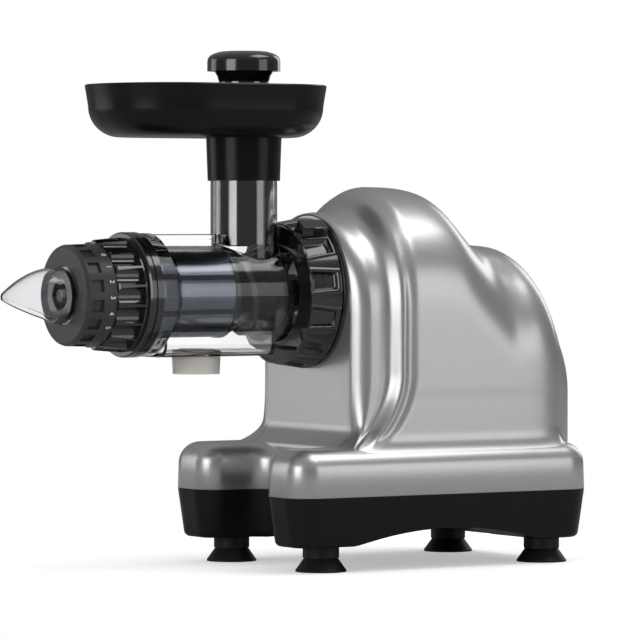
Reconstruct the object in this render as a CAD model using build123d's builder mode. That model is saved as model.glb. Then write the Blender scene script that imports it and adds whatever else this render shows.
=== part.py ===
"""Horizontal cold press juicer: housing, drum, hopper and the drive inside, one solid per piece."""

import math
import os

from build123d import *

os.makedirs("parts", exist_ok=True)

# ---------------------------------------------------------------- driving dimensions (mm)
# X runs back along the drum axis, Y to the far side, Z up from the table. Stations along X are
# given behind the front panel, so pieces ahead of the panel have negative ones.
axis_z = 178.6  # height of the drum and auger axis
drum_reach = 225.5  # front panel to the tip of the outlet nozzle
body_depth = 174.5  # front panel to the back of the base
panel_x = (drum_reach - body_depth) / 2  # puts X = 0 at mid-length

wall = 3.0  # housing wall
slip = 0.3  # radial clearance of pieces that turn or lift by hand
fit = 0.05  # radial clearance of shafts and pressed pieces

# Base and skirt
base_half_w = 82.6
arm_reach = 57.5
arm_inner_y = 34.0
notch_back = 12.0
base_corner_r = 21.0
arm_corner_r = 17.0
parting_z = 48.5
skirt_top_z = 79.5
skirt_top_r = 14.0
skirt_lean = 1.0
pan_z = 16.5
pan_wall = 2.6
pan_lean = 4.5
pan_edge_r = 4.0
arch_rise = 10.0
arch_front = -11.0
arch_back = body_depth - 42.5
vent_count = 9
vent_pitch = 8.0
vent_w = 3.5
vent_len = 44.0
vent_x = 100.0

# Screws and bosses: (station, distance from the middle plane)
base_screw_spots = [
    (-40.0, arm_inner_y + 16.0),
    (60.0, base_half_w - 11.6),
    (body_depth - 28.5, base_half_w - 13.6),
]
boss_r = 5.5
boss_overlap = 2.7  # bosses stop this far below the top of the skirt
screw_r = 1.9
pilot_r = 2.0
head_r = 3.8
head_h = 2.4
screw_len = 20.0

# Suction feet
foot_front_x = -24.2
foot_back_x = body_depth - 26.3
foot_y = base_half_w - 26.2
foot_rim_r = 16.5
foot_waist_r = 10.8
foot_neck_r = 11.8
foot_cone_h = 9.0
foot_stem_r = 4.0

# Upper shell over the gearbox: (station, half width, top above the drum axis)
side_half_w = base_half_w - 10.6
panel_r = 54.0
arch_front_sections = [
    (0.0, panel_r, 53.0),
    (4.0, panel_r + 5.0, 53.0),
    (6.0, panel_r + 6.5, 53.0),
    (10.0, panel_r + 8.5, 53.0),
    (17.0, panel_r + 8.5, 53.4),
    (24.0, side_half_w - 5.0, 57.0),
    (31.0, side_half_w - 0.5, 64.5),
    (42.0, side_half_w, 69.8),
    (62.0, side_half_w, 69.4),
]
# and over the motor: (distance ahead of the back, half width, top above the drum axis)
arch_rear_sections = [
    (94.5, side_half_w, 65.9),
    (84.5, side_half_w, 56.0),
    (70.5, side_half_w, 41.0),
    (54.5, side_half_w - 0.7, 25.5),
    (46.5, side_half_w - 2.2, 14.0),
]
# Rear hump: (distance ahead of the back, half width, top above the table)
hump_sections = [
    (66.5, side_half_w - 18.0, 185.0),
    (58.5, side_half_w - 8.0, 199.0),
    (48.5, side_half_w - 2.0, 208.5),
    (37.5, side_half_w - 0.5, 209.4),
    (25.5, side_half_w - 2.2, 203.5),
    (14.5, side_half_w - 8.6, 188.1),
    (7.5, side_half_w - 14.8, 169.8),
    (3.5, side_half_w - 18.0, 152.5),
]
flare_r = 8.0
shell_foot_z = 60.0
rim_w = 3.0
panel_t = 2.7
panel_inset = 0.5
panel_foot_z = 80.6
lip_reach = 10.0
hub_bore_r = 30.0
lip_top_z = 83.6
lip_r = 9.0
ledge_w = 4.0
ledge_t = 3.0

# Drum socket and lock ring
ring_r = 49.3
ring_front_r = 46.0
ring_front = 24.3
ring_nose = 25.4
ring_nose_r = 34.0
ring_wall = 3.6
ring_bore = 41.0
seat_r = 49.4
seat_t = 2.2
rib_r = 55.6
rib_w = 9.0
rib_turn = 34.5
pocket_count = 12
pocket_depth = 3.4
pocket_w = 13.0
pocket_len = 14.0
socket_r = 36.5
socket_len = 16.0
lug_h = 3.6
lug_t = 4.6
lug_count = 3
lug_w = 17.0
lug_back = 7.6
socket_screw_ring = 22.5
ring_back = 2.6

# Drum
drum_wall = 2.5
screen_r = 28.5
screen_front = 154.0
screen_rear = 68.0
screen_band = 113.0
screen_ring_w = 3.0
screen_skin = 0.4
screen_rib = 0.6
screen_rib_count = 8
feed_bore_r = 27.9
drum_front = 156.4
drum_back = 6.0
drum_back_wall = 6.0
flange_r = 39.6
flange_front = 130.4
flange_back = 121.0
rear_flange_r = 38.6
rear_flange_t = 3.6
chute_x = 48.3
chute_r = 21.75
chute_wall = 2.0
chute_top_z = 279.0
chute_root_r = 2.0
web_t = 2.6
web_top_z = 215.5
web_bead_r = 2.0
sump_half_w = 20.0
sump_z = 138.4
sump_front = 119.0
sump_back = 36.0
sump_r = 8.0
spout_x = 84.3
spout_r = 15.8
spout_wall = 2.0
spout_z = 127.0
spout_neck_r = 12.0

# Drum cap, dial and nozzle
cap_r_front = 35.4
cap_r_back = 37.0
cap_front = 160.6
cap_grip_back = 140.4
cap_flange_r = 40.3
cap_wall = 3.4
cap_groove_r = 35.0
cap_groove_front = 138.6
cap_groove_back = 132.6
cap_back = 130.8
cap_unlock = 45.0
grip_count = 18
grip_r = 6.5
grip_depth = 2.4
neck_r = 18.6
neck_bore = 14.6
hub_r = 15.9
hub_front = 185.0
hub_step = 181.2
outlet_r = 9.5
dial_r = 32.4
dial_front = 182.0
dial_wall = 3.4
dial_band = 9.5
dial_notches = 16
dial_notch_depth = 2.0
notch_share = 0.62
nozzle_wall = 1.5
nozzle_root = 191.0
nozzle_tip_z = 176.0

# Hopper and pusher
rim_z = 314.0
tray_len = 160.0
tray_w = 116.0
tray_corner_r = 54.0
tray_shift = 28.4
tray_wall = 2.2
tray_floor_z = 280.0
tray_draft = 4.5
tray_edge_r = 13.0
collar_bottom_z = 252.1
collar_top_r = 24.6
collar_bottom_r = 23.6
pusher_r = 19.2
pusher_wall = 2.6
pusher_bottom_z = 209.5
pusher_shoulder_z = 294.0
waist_r = 16.2
waist_z = 304.0
knob_z = 323.4
knob_h = 12.9
knob_r = 23.8
knob_plug_r = 9.0
knob_plug_len = 14.0

# Auger
auger_r = 27.2
auger_pitch = 27.0
flight_t = 4.0
auger_start = 21.0
auger_end = 148.0
auger_core_rear = 11.5
auger_core_front = 21.0
auger_hub_r = 9.0
auger_hub_end = 4.0
journal_r = 6.0
hex_af = 12.0
hex_len = 13.0
seal_r = 12.5

# Drive: tooth counts, modules and places
out_teeth = 58
idler_small_teeth = 14
idler_big_teeth = 50
motor_teeth = 12
module_out = 1.5
module_in = 1.0
tooth_thin = 0.86  # share of the full tooth thickness, the rest is backlash
motor_z = 140.0
shaft_r = 8.0
idler_shaft_r = 5.0
motor_shaft_r = 3.0
out_gear_x = 21.0
out_gear_w = 15.0
small_gear_x = 19.5
small_gear_w = 18.0
in_gear_x = 47.0
in_gear_w = 8.0
motor_gear_x = 45.0
motor_gear_w = 12.0
cover_front = 6.0
cover_t = 6.0
case_back = 70.0
case_wall = 3.0
case_gap = 2.4
bearing_boss = 5.0
bearing_w = 8.0
out_bearing_r = 16.0
idler_bearing_r = 11.0
motor_bearing_r = 9.5
out_case_r = 49.0
idler_case_r = 31.5
idler_front_r = 22.0
motor_case_r = 20.0
lobe_sink = 1.5
ear_r = 4.5
ear_len = 14.0
socket_boss_r = 27.0
stator_r = 47.0
stator_x = 80.0
stator_clear = 50.5  # from the stator to the back of the base
coil_len = 3.4
coil_in_r = 28.0
coil_out_r = 39.5
rotor_r = 26.0
air_gap = 0.6
bracket_t = 6.0
bolt_ring_r = 43.3
bolt_r = 1.5
bolt_head_r = 2.8
bracket_rim = 6.0
fan_r = 40.0
fan_gap = 14.0
fan_w = 10.0
fan_blades = 9
cradle_z = 48.0
cradle_t = 4.0
cradle_half_w = 47.0
cradle_post_y = 40.0
cradle_post_in = 4.0
isolator_h = 4.0
saddle_top_z = 104.0
saddle_half_w = 34.0
capacitor_size = (46.0, 28.0, 26.0)
capacitor_spot = (38.0, -42.0)
platform_z = 32.0

# Switch and cord gland on the back
switch_z = 118.0
switch_w = 21.0
switch_h = 30.0
switch_depth = 20.0
bezel_rim = 2.0
rocker_w = 16.0
rocker_h = 24.0
rocker_tilt = 10.0
gland_y = -42.0
gland_z = 58.5
gland_r = 7.0
gland_flange_r = 9.0
gland_bore = 3.6
gland_seat = body_depth - 3.2
gland_pad = 7.0

# ---------------------------------------------------------------- shared geometry
socket_front = -socket_len
rear_flange_front = socket_front - slip - rear_flange_t
barrel_r = screen_r + slip + drum_wall
arch_stations = arch_front_sections + [(body_depth - d, w, top) for d, w, top in arch_rear_sections]
hump_stations = [(body_depth - d, w, top) for d, w, top in hump_sections]
housing_back = hump_stations[-1][0]
stator_back = body_depth - stator_clear
stator_len = stator_back - stator_x
fan_x = stator_back + fan_gap
cradle_posts = (stator_x + cradle_post_in, stator_back - cradle_post_in)
plate_back = panel_inset + panel_t
out_centres = module_out * (out_teeth + idler_small_teeth) / 2
in_centres = module_in * (idler_big_teeth + motor_teeth) / 2
motor_drop = axis_z - motor_z
idler_rise = (motor_drop**2 - out_centres**2 + in_centres**2) / (2 * motor_drop)
idler_y = math.sqrt(in_centres**2 - idler_rise**2)
idler_z = motor_z + idler_rise


def at(x):
    """Plane across the drum axis at a station; its axes are Y and Z."""
    return Plane.YZ.offset(panel_x + x)


def on_axis(x):
    """The same plane with its origin on the drum axis."""
    return Plane(origin=(panel_x + x, 0, axis_z), x_dir=(0, 1, 0), z_dir=(1, 0, 0))


def side_plane(y=0.0):
    """Plane along the drum axis; its axes are the station and the height."""
    return Plane(origin=(panel_x, y, 0), x_dir=(1, 0, 0), z_dir=(0, -1, 0))


def floor_plane(z):
    """Level plane; its axes are the station and Y."""
    return Plane(origin=(panel_x, 0, z), x_dir=(1, 0, 0), z_dir=(0, 0, 1))


def turned(points, centre_z=axis_z):
    """Solid of revolution about a line along X, from (station, radius) points."""
    plane = Plane(origin=(panel_x, 0, centre_z), x_dir=(1, 0, 0), z_dir=(0, -1, 0))
    with BuildPart() as blank:
        with BuildSketch(plane):
            with BuildLine():
                Polyline(*points, close=True)
            make_face()
        revolve(axis=Axis((panel_x, 0, centre_z), (1, 0, 0)))
    return blank.part


def disc(x0, x1, r, y=0.0, z=axis_z, mode=Mode.ADD):
    """Round bar or bore along X between two stations."""
    with Locations(Location((panel_x + (x0 + x1) / 2, y, z), (0, 90, 0))):
        Cylinder(r, x1 - x0, mode=mode)


def post(x, y, z0, z1, r, mode=Mode.ADD):
    """Upright round bar or bore between two heights."""
    with Locations((panel_x + x, y, (z0 + z1) / 2)):
        Cylinder(r, z1 - z0, mode=mode)


def block(x0, x1, y0, y1, z0, z1, mode=Mode.ADD):
    """Square block between two stations, offsets and heights."""
    with Locations((panel_x + (x0 + x1) / 2, (y0 + y1) / 2, (z0 + z1) / 2)):
        Box(x1 - x0, y1 - y0, z1 - z0, mode=mode)


def arch_face(half_w, top_z, foot_z):
    """Straight-sided arch whose crown is a half circle."""
    spring_z = top_z - half_w
    with BuildSketch() as face:
        with BuildLine():
            Line((-half_w, foot_z), (half_w, foot_z))
            Line((half_w, foot_z), (half_w, spring_z))
            ThreePointArc((half_w, spring_z), (0, top_z), (-half_w, spring_z))
            Line((-half_w, spring_z), (-half_w, foot_z))
        make_face()
    return face.sketch


def flared_face(half_w, top_z, foot_z):
    """The same arch with its sides swept out at the foot to meet the rounded skirt."""
    spring_z = top_z - half_w
    span = base_half_w - skirt_top_r - side_half_w
    rise = math.sqrt((skirt_top_r + flare_r) ** 2 - (flare_r - span) ** 2)
    flare_z = skirt_top_z - skirt_top_r + rise
    share = flare_r / (skirt_top_r + flare_r)
    foot_w = half_w + flare_r - (flare_r - span) * share
    foot_top = flare_z - rise * share
    mid_w = half_w + flare_r - flare_r * math.cos(0.5 * math.asin(rise * share / flare_r))
    mid_z = flare_z - flare_r * math.sin(0.5 * math.asin(rise * share / flare_r))
    with BuildSketch() as face:
        with BuildLine():
            Line((-foot_w, foot_z), (foot_w, foot_z))
            Line((foot_w, foot_z), (foot_w, foot_top))
            ThreePointArc((foot_w, foot_top), (mid_w, mid_z), (half_w, flare_z))
            Line((half_w, flare_z), (half_w, spring_z))
            ThreePointArc((half_w, spring_z), (0, top_z), (-half_w, spring_z))
            Line((-half_w, spring_z), (-half_w, flare_z))
            ThreePointArc((-half_w, flare_z), (-mid_w, mid_z), (-foot_w, foot_top))
            Line((-foot_w, foot_top), (-foot_w, foot_z))
        make_face()
    return face.sketch


def arch_block(x0, x1, half_w, foot_z):
    """Arch centred on the drum axis, extruded between two stations."""
    with BuildPart() as blank:
        with BuildSketch(at(x0)):
            add(arch_face(half_w, axis_z + half_w, foot_z))
        extrude(amount=x1 - x0)
    return blank.part


def base_outline(inset=0.0):
    """Plan of the base: a rounded block with a gap between two front arms."""
    front = inset - arm_reach
    back = body_depth - inset
    half = base_half_w - inset
    gap = arm_inner_y + inset
    notch = inset - notch_back
    arm_r = arm_corner_r - inset
    rear_r = base_corner_r - inset
    notch_r = arm_corner_r + inset
    with BuildSketch() as plan:
        with BuildLine():
            FilletPolyline(
                (front, half),
                (back, half),
                (back, -half),
                (front, -half),
                (front, -gap),
                (notch, -gap),
                (notch, gap),
                (front, gap),
                radius=[arm_r, rear_r, rear_r, arm_r, arm_r, notch_r, notch_r, arm_r],
                close=True,
            )
        make_face()
    return plan.sketch


def rounded_block(inset, z_open, z_end, lean, edge_r):
    """Block of the base's plan, leaning in towards its closed end, with that end's edge rounded."""
    with BuildPart() as shape:
        with BuildSketch(floor_plane(z_open)):
            add(base_outline(inset))
        with BuildSketch(floor_plane(z_end)):
            add(base_outline(inset + lean))
        loft()
        end_face = shape.faces().sort_by(Axis.Z)[-1 if z_end > z_open else 0]
        fillet(end_face.edges(), edge_r)
    return shape.part


def both_sides(spots):
    """Mirror a list of (station, offset) spots to both sides of the middle plane."""
    return [(x, side * y) for x, y in spots for side in (-1, 1)]


def upper_shell(inset=0.0):
    """Arch and rear hump, lofted through their sections; an inset gives the inside."""
    section = arch_face if inset else flared_face
    hump_start = hump_stations[0][0]
    with BuildPart() as shell:
        for x, half_w, top in arch_stations:
            if inset == 0 or x >= cover_front:
                with BuildSketch(at(x)):
                    add(section(half_w - inset, axis_z + top - inset, shell_foot_z))
        loft()
        for x, half_w, top in hump_stations:
            back_off = inset * (x - hump_start) / (housing_back - hump_start)
            with BuildSketch(at(x - back_off)):
                add(section(half_w - inset, top - inset, shell_foot_z))
        loft()
    return shell.part


def save(part, name):
    """Label a finished piece and write it as a STEP file of that name."""
    part.label = name
    export_step(part, f"parts/{name}.step")


# ---------------------------------------------------------------- housing
with BuildPart() as upper_housing:
    add(rounded_block(0, parting_z, skirt_top_z, skirt_lean, skirt_top_r))
    add(upper_shell())
    # Hollow: the arch and hump inside, and the skirt inside, both one wall in
    add(upper_shell(wall), mode=Mode.SUBTRACT)
    add(rounded_block(wall, parting_z, skirt_top_z - wall, skirt_lean, skirt_top_r - wall), mode=Mode.SUBTRACT)
    # Opening for the front panel, with a ledge behind it
    opening_r = panel_r - rim_w
    add(arch_block(0, plate_back, opening_r, panel_foot_z), mode=Mode.SUBTRACT)
    add(arch_block(0, cover_front, opening_r - ledge_w, panel_foot_z + ledge_w), mode=Mode.SUBTRACT)
    # Bosses for the base screws
    for x, y in both_sides(base_screw_spots):
        post(x, y, parting_z, skirt_top_z - boss_overlap, boss_r)
        post(x, y, parting_z, parting_z + screw_len, pilot_r, mode=Mode.SUBTRACT)
    # Cut-outs in the back for the switch and the cord gland
    block(
        housing_back - 2 * wall,
        body_depth,
        -switch_w / 2,
        switch_w / 2,
        switch_z - switch_h / 2,
        switch_z + switch_h / 2,
        mode=Mode.SUBTRACT,
    )
    block(
        gland_seat - gland_pad,
        gland_seat + fit,
        gland_y - 1.4 * gland_flange_r,
        gland_y + 1.4 * gland_flange_r,
        parting_z,
        gland_z + 1.2 * gland_flange_r,
    )
    disc(gland_seat - 2 * gland_pad, body_depth, gland_r + fit, gland_y, gland_z, mode=Mode.SUBTRACT)
    disc(gland_seat, body_depth, gland_flange_r + fit, gland_y, gland_z, mode=Mode.SUBTRACT)
save(upper_housing.part, "upper_housing")

with BuildPart() as front_panel:
    panel_half_w = opening_r - fit
    add(arch_block(panel_inset, plate_back, panel_half_w, panel_foot_z + fit))
    # Foot of the plate curves forward on to the tops of the arms
    with BuildSketch(side_plane()):
        with BuildLine():
            foot = Polyline(
                (panel_inset, lip_top_z + lip_r),
                (plate_back, lip_top_z + lip_r),
                (plate_back, panel_foot_z + fit),
                (-lip_reach, panel_foot_z + fit),
                (-lip_reach, lip_top_z),
                (panel_inset - lip_r, lip_top_z),
            )
            lip_mid = lip_r * (1 - math.sqrt(0.5))
            ThreePointArc(foot @ 1, (panel_inset - lip_mid, lip_top_z + lip_mid), foot @ 0)
        make_face()
    extrude(amount=panel_half_w, both=True)
    disc(panel_inset, plate_back, hub_bore_r, mode=Mode.SUBTRACT)
save(front_panel.part, "front_panel")

# ---------------------------------------------------------------- base pan and feet
def arch_cutter(raise_by):
    """Long shallow arch under the pan, from side to side."""
    middle = (arch_front + arch_back) / 2
    with BuildPart() as cutter:
        with BuildSketch(side_plane()):
            with BuildLine():
                ThreePointArc((arch_front, pan_z), (middle, pan_z + arch_rise + raise_by), (arch_back, pan_z))
                Line((arch_back, pan_z), (arch_front, pan_z))
            make_face()
        extrude(amount=base_half_w + wall, both=True)
    return cutter.part


foot_spots = both_sides([(foot_front_x, foot_y), (foot_back_x, foot_y)])
cradle_spots = both_sides([(x, cradle_post_y) for x in cradle_posts])
pan_floor = pan_z + pan_wall
screw_seat_z = parting_z - pan_wall - head_h

with BuildPart() as pan_hollow:
    add(rounded_block(pan_wall, parting_z, pan_floor, pan_lean, pan_edge_r - pan_wall / 2))
    add(arch_cutter(pan_wall), mode=Mode.SUBTRACT)

with BuildPart() as base_pan:
    add(rounded_block(0, parting_z, pan_z, pan_lean, pan_edge_r))
    add(arch_cutter(0), mode=Mode.SUBTRACT)
    add(pan_hollow.part, mode=Mode.SUBTRACT)
    # Screw posts up to the parting line, sunk from below for the heads
    for x, y in both_sides(base_screw_spots):
        post(x, y, pan_z + pan_wall / 2 + arch_rise, parting_z, boss_r)
        post(x, y, pan_z + pan_wall / 2, pan_z + pan_wall + arch_rise, boss_r)
        post(x, y, 0, screw_seat_z, head_r + slip, mode=Mode.SUBTRACT)
        post(x, y, screw_seat_z, parting_z, pilot_r + fit, mode=Mode.SUBTRACT)
    # Posts for the motor cradle and a platform for the capacitor
    for x, y in cradle_spots:
        post(x, y, pan_z + arch_rise / 2, cradle_z - isolator_h, boss_r)
        post(x, y, pan_floor + arch_rise, cradle_z - isolator_h, pilot_r, mode=Mode.SUBTRACT)
    cap_x, cap_y = capacitor_spot
    cap_l, cap_w, cap_h = capacitor_size
    block(
        cap_x - cap_l / 2,
        cap_x + cap_l / 2,
        cap_y - cap_w / 2,
        cap_y + cap_w / 2,
        pan_floor + arch_rise / 2,
        platform_z,
    )
    # Trim whatever stands below the arch, then open the vents and the foot holes
    add(arch_cutter(0), mode=Mode.SUBTRACT)
    for x, y in foot_spots:
        post(x, y, 0, pan_floor + pan_wall, foot_stem_r + fit, mode=Mode.SUBTRACT)
    with BuildSketch(floor_plane(0)):
        with Locations((vent_x, 0)):
            with GridLocations(vent_pitch, 1, vent_count, 1):
                SlotOverall(vent_len, vent_w, rotation=90)
    extrude(amount=platform_z, mode=Mode.SUBTRACT)
save(base_pan.part, "base_pan")

for index, (x, y) in enumerate(foot_spots, start=1):
    with BuildPart() as foot:
        stem_top = pan_floor + 2 * foot_stem_r
        with BuildSketch(Plane(origin=(panel_x + x, y, 0), x_dir=(1, 0, 0), z_dir=(0, -1, 0))):
            with BuildLine():
                Polyline(
                    (foot_rim_r, 0),
                    (foot_rim_r, 1),
                    (foot_waist_r, foot_cone_h),
                    (foot_neck_r, foot_cone_h),
                    (foot_neck_r, pan_z),
                    (foot_stem_r, pan_z),
                    (foot_stem_r, pan_floor + fit),
                    (foot_stem_r + 1.4, pan_floor + fit),
                    (foot_stem_r - 1, stem_top),
                    (0, stem_top),
                    (0, foot_cone_h / 2),
                    (foot_rim_r - 2.5, 0),
                    close=True,
                )
            make_face()
        revolve(axis=Axis((panel_x + x, y, 0), (0, 0, 1)))
    save(foot.part, f"suction_foot_{index}")

# ---------------------------------------------------------------- drum socket and lock ring
def lug_ring(x0, x1, r_in, r_out):
    """Bayonet lugs: short arcs of a ring, evenly spaced from the top."""
    with BuildPart() as lugs:
        with BuildSketch(on_axis(x0)):
            Circle(r_out)
            Circle(r_in, mode=Mode.SUBTRACT)
            with PolarLocations((r_in + r_out) / 2, lug_count, start_angle=90):
                Rectangle(2 * (r_out - r_in), lug_w, mode=Mode.INTERSECT)
        extrude(amount=x1 - x0)
    return lugs.part


with BuildPart() as drum_socket:
    add(
        turned(
            [
                (socket_front, barrel_r + slip),
                (socket_front, socket_r),
                (-seat_t, socket_r),
                (-seat_t, seat_r),
                (panel_inset, seat_r),
                (panel_inset, hub_bore_r - fit),
                (cover_front, hub_bore_r - fit),
                (cover_front, out_bearing_r + 1),
                (panel_inset, out_bearing_r + 1),
                (panel_inset, shaft_r + 1),
                (-drum_back + slip, shaft_r + 1),
                (-drum_back + slip, barrel_r + slip),
            ]
        )
    )
    add(lug_ring(-lug_back - lug_t, -lug_back, socket_r - fit, socket_r + lug_h))
    with BuildSketch(on_axis(-drum_back)):
        with PolarLocations(socket_screw_ring, 4, start_angle=45):
            Circle(pilot_r)
    extrude(amount=drum_back + cover_front, mode=Mode.SUBTRACT)
    with BuildSketch(on_axis(-drum_back)):
        with PolarLocations(socket_screw_ring, 4, start_angle=45):
            Circle(head_r + slip)
    extrude(amount=head_h + 2 * slip, mode=Mode.SUBTRACT)
save(drum_socket.part, "drum_socket")

with BuildPart() as drum_lock_ring:
    ring_neck = barrel_r + 2 * slip
    add(
        turned(
            [
                (-ring_nose, ring_neck),
                (-ring_nose, ring_nose_r),
                (-ring_front, ring_front_r),
                (-ring_back, ring_r),
                (-ring_back, ring_bore),
                (-ring_nose + ring_wall + 2 * slip, ring_bore),
                (-ring_nose + ring_wall, ring_neck),
            ]
        )
    )
    # Rear lugs that pull against the socket's lugs
    add(lug_ring(-lug_back + slip, -ring_back, socket_r + slip, ring_bore + 1))
    # Finger pockets round the rim
    with BuildSketch(on_axis(-ring_back - pocket_len - 2)):
        with PolarLocations(ring_r, pocket_count, start_angle=90 + rib_turn - 360 / pocket_count / 2):
            Rectangle(2 * pocket_depth, pocket_w)
    extrude(amount=pocket_len, mode=Mode.SUBTRACT)
    # Raised rib that the thumb pushes
    with BuildSketch(on_axis(-ring_front + 1)):
        with PolarLocations((ring_front_r + rib_r) / 2, 1, start_angle=90 + rib_turn):
            Rectangle(rib_r - ring_front_r, rib_w)
    extrude(amount=ring_front - ring_back - 2)
save(drum_lock_ring.part, "drum_lock_ring")

# ---------------------------------------------------------------- drum
with BuildPart() as drum:
    add(
        turned(
            [
                (-drum_front, 0),
                (-drum_front, barrel_r),
                (-flange_front, barrel_r),
                (-flange_front, flange_r),
                (-flange_back, flange_r),
                (-flange_back + 7, barrel_r),
                (rear_flange_front, barrel_r),
                (rear_flange_front, rear_flange_r),
                (rear_flange_front + rear_flange_t, rear_flange_r),
                (rear_flange_front + rear_flange_t, barrel_r),
                (-drum_back, barrel_r),
                (-drum_back, 0),
            ]
        )
    )
    post(-chute_x, 0, axis_z, chute_top_z, chute_r)
    root = [
        e
        for e in drum.edges()
        if e.geom_type != GeomType.LINE
        and e.bounding_box().min.Z > axis_z + barrel_r / 2
        and e.bounding_box().max.Z < chute_top_z - 1
        and abs(e.center().X - panel_x + chute_x) < chute_r
    ]
    fillet(root, chute_root_r)
    # Top web with its bead, from the front flange to the chute
    block(-flange_front, -chute_x, -web_t / 2, web_t / 2, axis_z + barrel_r - drum_wall, web_top_z)
    disc(-flange_front, -chute_x, web_bead_r, z=web_top_z)
    # Juice sump below
    with BuildSketch(at(-sump_front)):
        with Locations((0, (sump_z + axis_z) / 2)):
            RectangleRounded(2 * sump_half_w, axis_z - sump_z, sump_r)
    extrude(amount=sump_front - sump_back)
    with BuildSketch(at(-sump_front + drum_wall)):
        with Locations((0, (sump_z + axis_z) / 2)):
            RectangleRounded(2 * sump_half_w - 2 * drum_wall, axis_z - sump_z - 2 * drum_wall, sump_r - drum_wall)
    extrude(amount=sump_front - sump_back - 2 * drum_wall, mode=Mode.SUBTRACT)
    # Bores: screen seat, feed bore, seal seat, chute, spout hole
    disc(-drum_front, -screen_rear + slip, screen_r + slip, mode=Mode.SUBTRACT)
    disc(-screen_rear, -drum_back - drum_back_wall, feed_bore_r, mode=Mode.SUBTRACT)
    disc(-drum_back - drum_back_wall, -drum_back, seal_r, mode=Mode.SUBTRACT)
    post(-chute_x, 0, axis_z, chute_top_z, chute_r - chute_wall, mode=Mode.SUBTRACT)
    post(-spout_x, 0, sump_z, sump_z + drum_wall, spout_neck_r, mode=Mode.SUBTRACT)
    # Bayonet lugs for the cap
    add(lug_ring(-cap_groove_front + slip, -cap_groove_back - slip, barrel_r - fit, cap_groove_r - slip))
save(drum.part, "drum")

with BuildPart() as juice_spout:
    spout_plane = Plane(origin=(panel_x - spout_x, 0, 0), x_dir=(1, 0, 0), z_dir=(0, -1, 0))
    neck_in = spout_neck_r - spout_wall
    with BuildSketch(spout_plane):
        with BuildLine():
            Polyline(
                (neck_in, sump_z + drum_wall + 1),
                (spout_neck_r - fit, sump_z + drum_wall + 1),
                (spout_neck_r - fit, sump_z),
                (spout_r, sump_z),
                (spout_r - 0.6, spout_z),
                (spout_r - spout_wall, spout_z),
                (spout_r - spout_wall, sump_z - spout_wall),
                (neck_in, sump_z - spout_wall),
                close=True,
            )
        make_face()
    revolve(axis=Axis((panel_x - spout_x, 0, 0), (0, 0, 1)))
save(juice_spout.part, "juice_spout")

with BuildPart() as drum_seal:
    disc(-drum_back - drum_back_wall, -drum_back, seal_r - fit)
    disc(-drum_back - drum_back_wall, -drum_back, auger_hub_r + fit, mode=Mode.SUBTRACT)
save(drum_seal.part, "drum_seal")

skin_out = screen_r - screen_rib
with BuildPart() as screen_frame:
    for x in (-screen_front, -screen_band - screen_ring_w / 2, -screen_rear - screen_ring_w):
        with BuildSketch(on_axis(x)):
            Circle(screen_r)
            Circle(skin_out, mode=Mode.SUBTRACT)
        extrude(amount=screen_ring_w)
    # Ribs that join the rings, a little lower than them
    with BuildSketch(on_axis(-screen_front)):
        Circle(screen_r - screen_rib / 6)
        Circle(skin_out, mode=Mode.SUBTRACT)
        with PolarLocations(skin_out, screen_rib_count, start_angle=22.5):
            Rectangle(4 * screen_rib, screen_ring_w, mode=Mode.INTERSECT)
    extrude(amount=screen_front - screen_rear)
save(screen_frame.part, "screen_frame")

with BuildPart() as screen_mesh:
    disc(-screen_front, -screen_rear, skin_out - fit)
    disc(-screen_front, -screen_rear, skin_out - screen_skin, mode=Mode.SUBTRACT)
save(screen_mesh.part, "screen_mesh")

# ---------------------------------------------------------------- auger
with BuildPart() as auger:
    add(
        turned(
            [
                (-auger_hub_end, 0),
                (-auger_hub_end, auger_hub_r),
                (-auger_start + 3, auger_hub_r),
                (-auger_start, auger_core_rear),
                (-auger_end, auger_core_front),
                (-cap_front, journal_r + 2),
                (-hub_front + 3, journal_r),
                (-hub_front, journal_r - 2),
                (-hub_front, 0),
            ]
        )
    )
    # Hexagonal drive socket in the hub
    with BuildSketch(on_axis(-auger_hub_end)):
        RegularPolygon(hex_af / 2 + fit, 6, major_radius=False)
    extrude(amount=-hex_len - slip, mode=Mode.SUBTRACT)
    # One helical flight wound round the tapered core
    flight_start = (panel_x - auger_start - flight_t / 2, 0, axis_z)
    with BuildLine() as flight_path:
        Helix(
            pitch=auger_pitch,
            height=auger_end - auger_start - flight_t,
            radius=auger_core_front,
            center=flight_start,
            direction=(-1, 0, 0),
        )
    flight_wire = flight_path.wires()[0]
    outward = (flight_wire @ 0 - Vector(*flight_start)).normalized()
    with BuildSketch(Plane(origin=flight_wire @ 0, x_dir=outward, z_dir=flight_wire % 0)):
        with Locations(((auger_r + auger_core_rear - 1.5) / 2 - auger_core_front, 0)):
            Rectangle(auger_r - auger_core_rear + 1.5, flight_t)
    sweep(path=flight_wire, is_frenet=True)
save(auger.part, "auger")

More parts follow.
